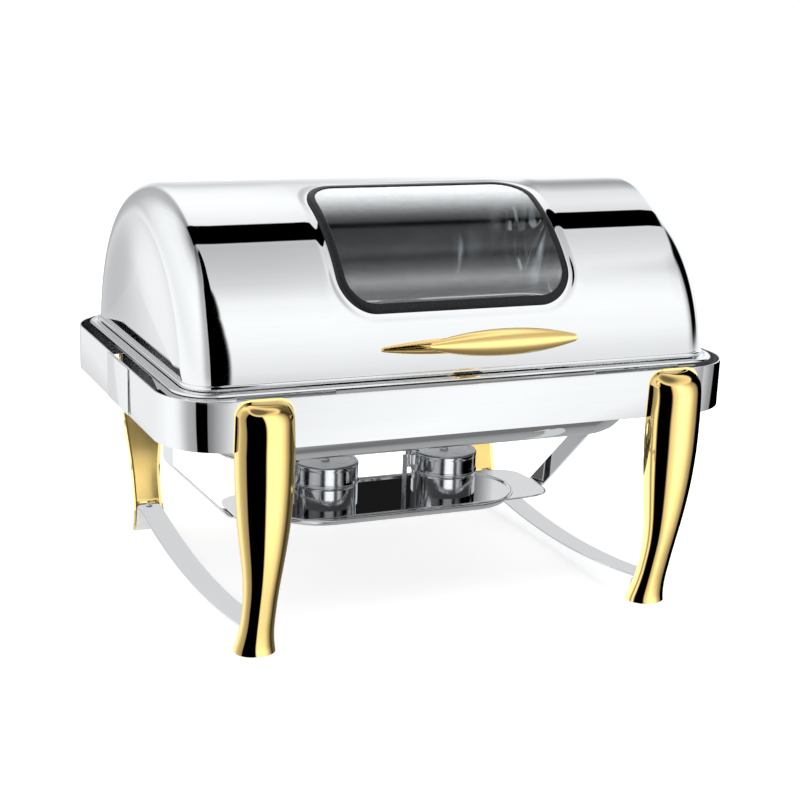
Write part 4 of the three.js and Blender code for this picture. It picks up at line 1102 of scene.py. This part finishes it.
PLATE_OVER = [(-40, .3), (-15, .34), (-12, .46), (-9, .64), (-5, .86), (8, .99), (30, .85), (70, .7)]
CUPS_AROUND = [(-180, .4), (-150, .45), (-130, .7), (-110, .62), (-99, .6), (-95, .04), (-84, .04),
               (-76, .6), (-60, .66), (-40, .6), (-32, .2), (-26, .2), (-18, .95), (-2, 1.0), (8, .95),
               (14, .3), (20, .3), (26, .7), (34, .62), (42, .3), (50, .04), (70, .02), (90, .06), (110, 0),
               (150, .06), (170, .4)]
TRAY_AROUND = [(-180, .9), (-168, .85), (-155, .3), (80, .25), (105, .8), (152.2, .84), (152.9, .12),
               (158.5, .12), (160, .85), (180, .9)]
RIBBON_OVER = [(-20, .9), (0, .93), (15, .81), (24, .45), (29, .34), (45, .28)]
PAN_AROUND = [(-180, .66), (-120, .72), (-60, .9), (0, .84), (20, .7), (38, .45), (56, .44), (66, .56),
              (90, .6), (180, .66)]
PANE_OVER = [(-40, .4), (40, .5), (50, .5), (54, .6), (57.5, .67), (61, .58), (65, .45), (69.5, .36),
             (74, .27), (79.5, .34), (86, .29), (92, .27), (98, .24), (100.5, .1), (102, .1), (104, .26),
             (110, .4), (118, .62), (126, .78), (134, .86), (150, .84)]


WALL_OVER = [(0, .96), (34, 1.0), (55, .98), (64, .9), (72, .8), (82, .55), (90, .5)]


def tent_wall(kit, way):
    """White tent with a black strip overhead and a black flag at the right end."""
    x, over = way.x, way.over
    wall = kit.math("MULTIPLY", kit.reading(way.azimuth, WALL_AROUND), kit.reading(way.elevation, WALL_OVER))
    barrel = kit.blend(kit.span(x, 0.3, 0.5), kit.reading(over, BARREL_NEAR), kit.reading(over, BARREL_FAR))
    behind = kit.math("MULTIPLY", kit.span(x, 0.56, 0.64), kit.span(over, 100.0, 108.0))
    barrel = kit.blend(behind, barrel, 0.98)
    low = kit.span(way.elevation, 43.0, 51.0, 1.0, 0.0)
    barrel = kit.math("MULTIPLY", barrel, kit.blend(low, 1.0, kit.reading(way.azimuth, END_AROUND)))
    level = kit.blend(kit.span(x, -0.02, 0.12), wall, barrel)
    shift = kit.math("MULTIPLY_ADD", x, 7.0, -2.1)
    strip = kit.inside(kit.math("SUBTRACT", over, shift), 90.8, 106.4, 0.5)
    strip = kit.math("MULTIPLY", strip, kit.inside(x, -0.05, 0.62, 0.04))
    return kit.minus(level, strip)


def flagged(kit, way, level, lowest_elevation):
    """Black flag in front of the dish, down to one elevation."""
    soft = 0.8
    left = kit.math("SUBTRACT", way.azimuth, kit.reading(way.elevation, FRONT_LEFT, -20, 20))
    right = kit.math("SUBTRACT", way.azimuth, kit.reading(way.elevation, FRONT_RIGHT, 15, 65))
    flag = kit.math("MULTIPLY", kit.span(left, -soft, soft), kit.span(right, -soft, soft, 1.0, 0.0))
    flag = kit.math("MULTIPLY", flag, kit.inside(way.elevation, lowest_elevation, 82.0, 2.0))
    return kit.minus(level, flag)


def cover_light(kit, way):
    low = kit.reading(way.azimuth, WALL_LOW)
    return flagged(kit, way, kit.blend(kit.span(way.elevation, -8.0, 6.0), low, tent_wall(kit, way)), -60.0)


def band_light(kit, way):
    low = kit.reading(way.azimuth, BAND_AROUND)
    return flagged(kit, way, kit.blend(kit.span(way.elevation, -2.0, 2.0), low, tent_wall(kit, way)), 20.0)


def leg_light(kit, way, around, crown):
    """Table of the legs' one side; the crown elevation is where an overhead light takes over."""
    overhead = kit.span(way.elevation, crown + 8.0, 78.0, 0.78, 0.35)
    level = kit.blend(kit.span(way.elevation, crown, crown + 6.0), kit.reading(way.azimuth, around), overhead)
    return kit.math("MULTIPLY", level, kit.span(way.elevation, -60.0, -20.0, 0.86, 1.0))


def left_leg_light(kit, way):
    return leg_light(kit, way, LEFT_LEGS, 58.0)


def right_leg_light(kit, way):
    return leg_light(kit, way, RIGHT_LEGS, 42.0)


def handle_light(kit, way):
    return kit.reading(way.elevation, HANDLE_OVER)


def plate_light(kit, way):
    return kit.reading(way.elevation, PLATE_OVER)


def cup_light(kit, way):
    above = kit.span(way.elevation, 2.0, 14.0, 1.0, 0.5)
    return kit.math("MULTIPLY", kit.reading(way.azimuth, CUPS_AROUND), above)


def tray_light(kit, way):
    above = kit.span(way.elevation, -6.0, 0.0)
    return kit.blend(above, kit.reading(way.azimuth, PAN_AROUND), kit.reading(way.azimuth, TRAY_AROUND))


def ribbon_light(kit, way):
    return kit.blend(kit.span(way.azimuth, 20.0, 60.0), kit.reading(way.elevation, RIBBON_OVER), 0.82)


def pan_light(kit, way):
    low = kit.reading(way.azimuth, PAN_AROUND)
    return kit.blend(kit.span(way.elevation, -6.0, 10.0), low, tent_wall(kit, way))


def pane_light(kit, way):
    return kit.reading(way.over, PANE_OVER)


Way = namedtuple("Way", "x azimuth elevation over")    # a direction: its x, and three angles in degrees


def look(kit):
    """The direction from the dome's centre, from the dome's own coordinates."""
    way = kit.new("ShaderNodeVectorMath", operation="NORMALIZE")
    kit.link(kit.new("ShaderNodeTexCoord").outputs["Object"], way.inputs[0])
    split = kit.new("ShaderNodeSeparateXYZ")
    kit.link(way.outputs[0], split.inputs[0])
    x, y, z = split.outputs
    front = kit.math("MULTIPLY", y, -1.0)
    angles = (kit.math("ARCTAN2", x, front), kit.math("ARCSINE", z), kit.math("ARCTAN2", z, front))
    return Way(x, *(kit.math("DEGREES", angle) for angle in angles))


def tent(name, radius, light, strength, tint, receivers):
    """Big soft lit dome around the dish whose light falls on one family of pieces only."""
    bm = bmesh.new()
    bmesh.ops.create_icosphere(bm, subdivisions=5, radius=radius)
    mesh = bpy.data.meshes.new(name)
    bm.to_mesh(mesh)
    bm.free()
    dome = link_object(name, mesh)
    dome.location = (0, 0, 0.25)
    mat = bpy.data.materials.new(name)
    mat.use_nodes = True
    mat.cycles.emission_sampling = "NONE"
    kit = Nodes(mat.node_tree)
    level = kit.math("MAXIMUM", light(kit, look(kit)), 0.0)
    glow = kit.new("ShaderNodeEmission")
    glow.inputs["Color"].default_value = (*tint, 1)
    kit.link(kit.math("MULTIPLY", kit.math("POWER", level, EYE_GAMMA), strength), glow.inputs["Strength"])
    both = kit.new("ShaderNodeAddShader")
    kit.link(glow.outputs[0], both.inputs[0])
    kit.link(kit.new("ShaderNodeBsdfTransparent").outputs[0], both.inputs[1])
    out = kit.new("ShaderNodeOutputMaterial")
    kit.link(both.outputs[0], out.inputs["Surface"])
    mesh.materials.append(mat)
    dome.visible_camera = False
    dome.visible_diffuse = False
    dome.visible_shadow = False
    group = bpy.data.collections.new(name + "_receivers")
    for piece in receivers:
        group.objects.link(piece)
    dome.light_linking.receiver_collection = group


COOL = (0.972, 0.988, 1.0)
WHITE = (1.0, 1.0, 1.0)
# family of pieces, light, strength, tint
TENTS = (("cover", cover_light, 1.13, COOL), ("band", band_light, 1.13, COOL),
         ("left_legs", left_leg_light, 1.8, WHITE), ("right_legs", right_leg_light, 1.8, WHITE),
         ("handle", handle_light, 1.8, WHITE), ("plates", plate_light, 1.3, WHITE),
         ("cups", cup_light, 1.5, COOL), ("tray", tray_light, 1.1, COOL),
         ("ribbons", ribbon_light, 1.1, COOL), ("pan", pan_light, 1.1, COOL), ("pane", pane_light, 3.8, COOL))
# how a family's names start; the first that fits counts
FAMILY_NAMES = (("window_pane", "pane"), ("handle_", "handle"), ("leg_closer", "plates"), ("cover_", "cover"),
                ("window_", "cover"), ("stretcher", "ribbons"), ("hanger", "ribbons"), ("water_pan", "pan"),
                ("burner_tray", "tray"), ("fuel_", "cups"), ("cup_", "cups"), ("gel_", "cups"),
                ("damper_rivet", "cups"), ("damper_", "pan"))


def family(piece):
    """Which tent lights a piece."""
    for start, key in FAMILY_NAMES:
        if piece.name.startswith(start):
            return key
    if piece.name.startswith("leg_"):
        return "left_legs" if piece.name.endswith("left") else "right_legs"
    return "band"


def studio():
    world = bpy.data.worlds.new("studio")
    bpy.context.scene.world = world
    world.use_nodes = True
    world.cycles.sampling_method = "NONE"
    bpy.context.scene.cycles.transparent_max_bounces = 32       # rays pass through all the domes
    kit = Nodes(world.node_tree)
    path = kit.new("ShaderNodeLightPath")
    back = kit.new("ShaderNodeBackground")
    back.inputs["Color"].default_value = (1, 1, 1, 1)
    mirrored = kit.math("MAXIMUM", path.outputs["Is Glossy Ray"], path.outputs["Is Transmission Ray"])
    kit.link(kit.math("SUBTRACT", 1.0, mirrored), back.inputs["Strength"])
    out = kit.new("ShaderNodeOutputWorld")
    kit.link(back.outputs[0], out.inputs["Surface"])

    families = {key: [] for key, *_ in TENTS}
    for piece in bpy.context.scene.objects:
        if piece.type == "MESH":
            key = family(piece)
            families[key].append(piece)
            if key in ("plates", "left_legs", "right_legs"):
                piece.visible_glossy = False
    for i, (key, light, strength, tint) in enumerate(TENTS):
        tent("tent_" + key, 20.0 + i, light, strength, tint, families[key])

    data = bpy.data.lights.new("softbox", "AREA")
    data.shape = "DISK"
    data.size = 2.2
    data.energy = 26.0
    lamp = link_object("softbox", data)
    lamp.location = (-0.4, -0.5, 2.4)
    lamp.rotation_euler = Vector((0.4, 0.5, -2.2)).to_track_quat("-Z", "Y").to_euler()
    lamp.visible_glossy = False


def camera():
    data = bpy.data.cameras.new("camera")
    data.sensor_width = 36.0
    data.lens = 72.62
    data.shift_x = 0.068
    data.shift_y = 0.059
    data.clip_end = 60.0
    cam = link_object("camera", data)
    yaw, pitch, roll = 0.390, 0.283, 0.026      # radians, solved from the outline in the photograph
    distance = 1.7784
    ahead = Vector((math.sin(yaw) * math.cos(pitch), math.cos(yaw) * math.cos(pitch), -math.sin(pitch)))
    right = Vector((math.cos(yaw), -math.sin(yaw), 0))
    up = right.cross(ahead)
    r = math.cos(roll) * right + math.sin(roll) * up
    u = -math.sin(roll) * right + math.cos(roll) * up
    aim = Vector((-51.5, 0, 133.3 + LIFT)) * MM
    place = aim - ahead * distance
    turn = Matrix((r, u, -ahead)).transposed().to_4x4()
    cam.matrix_world = Matrix.Translation(place) @ turn
    bpy.context.scene.camera = cam


stage()
studio()
camera()
bpy.context.scene.view_settings.view_transform = "Standard"
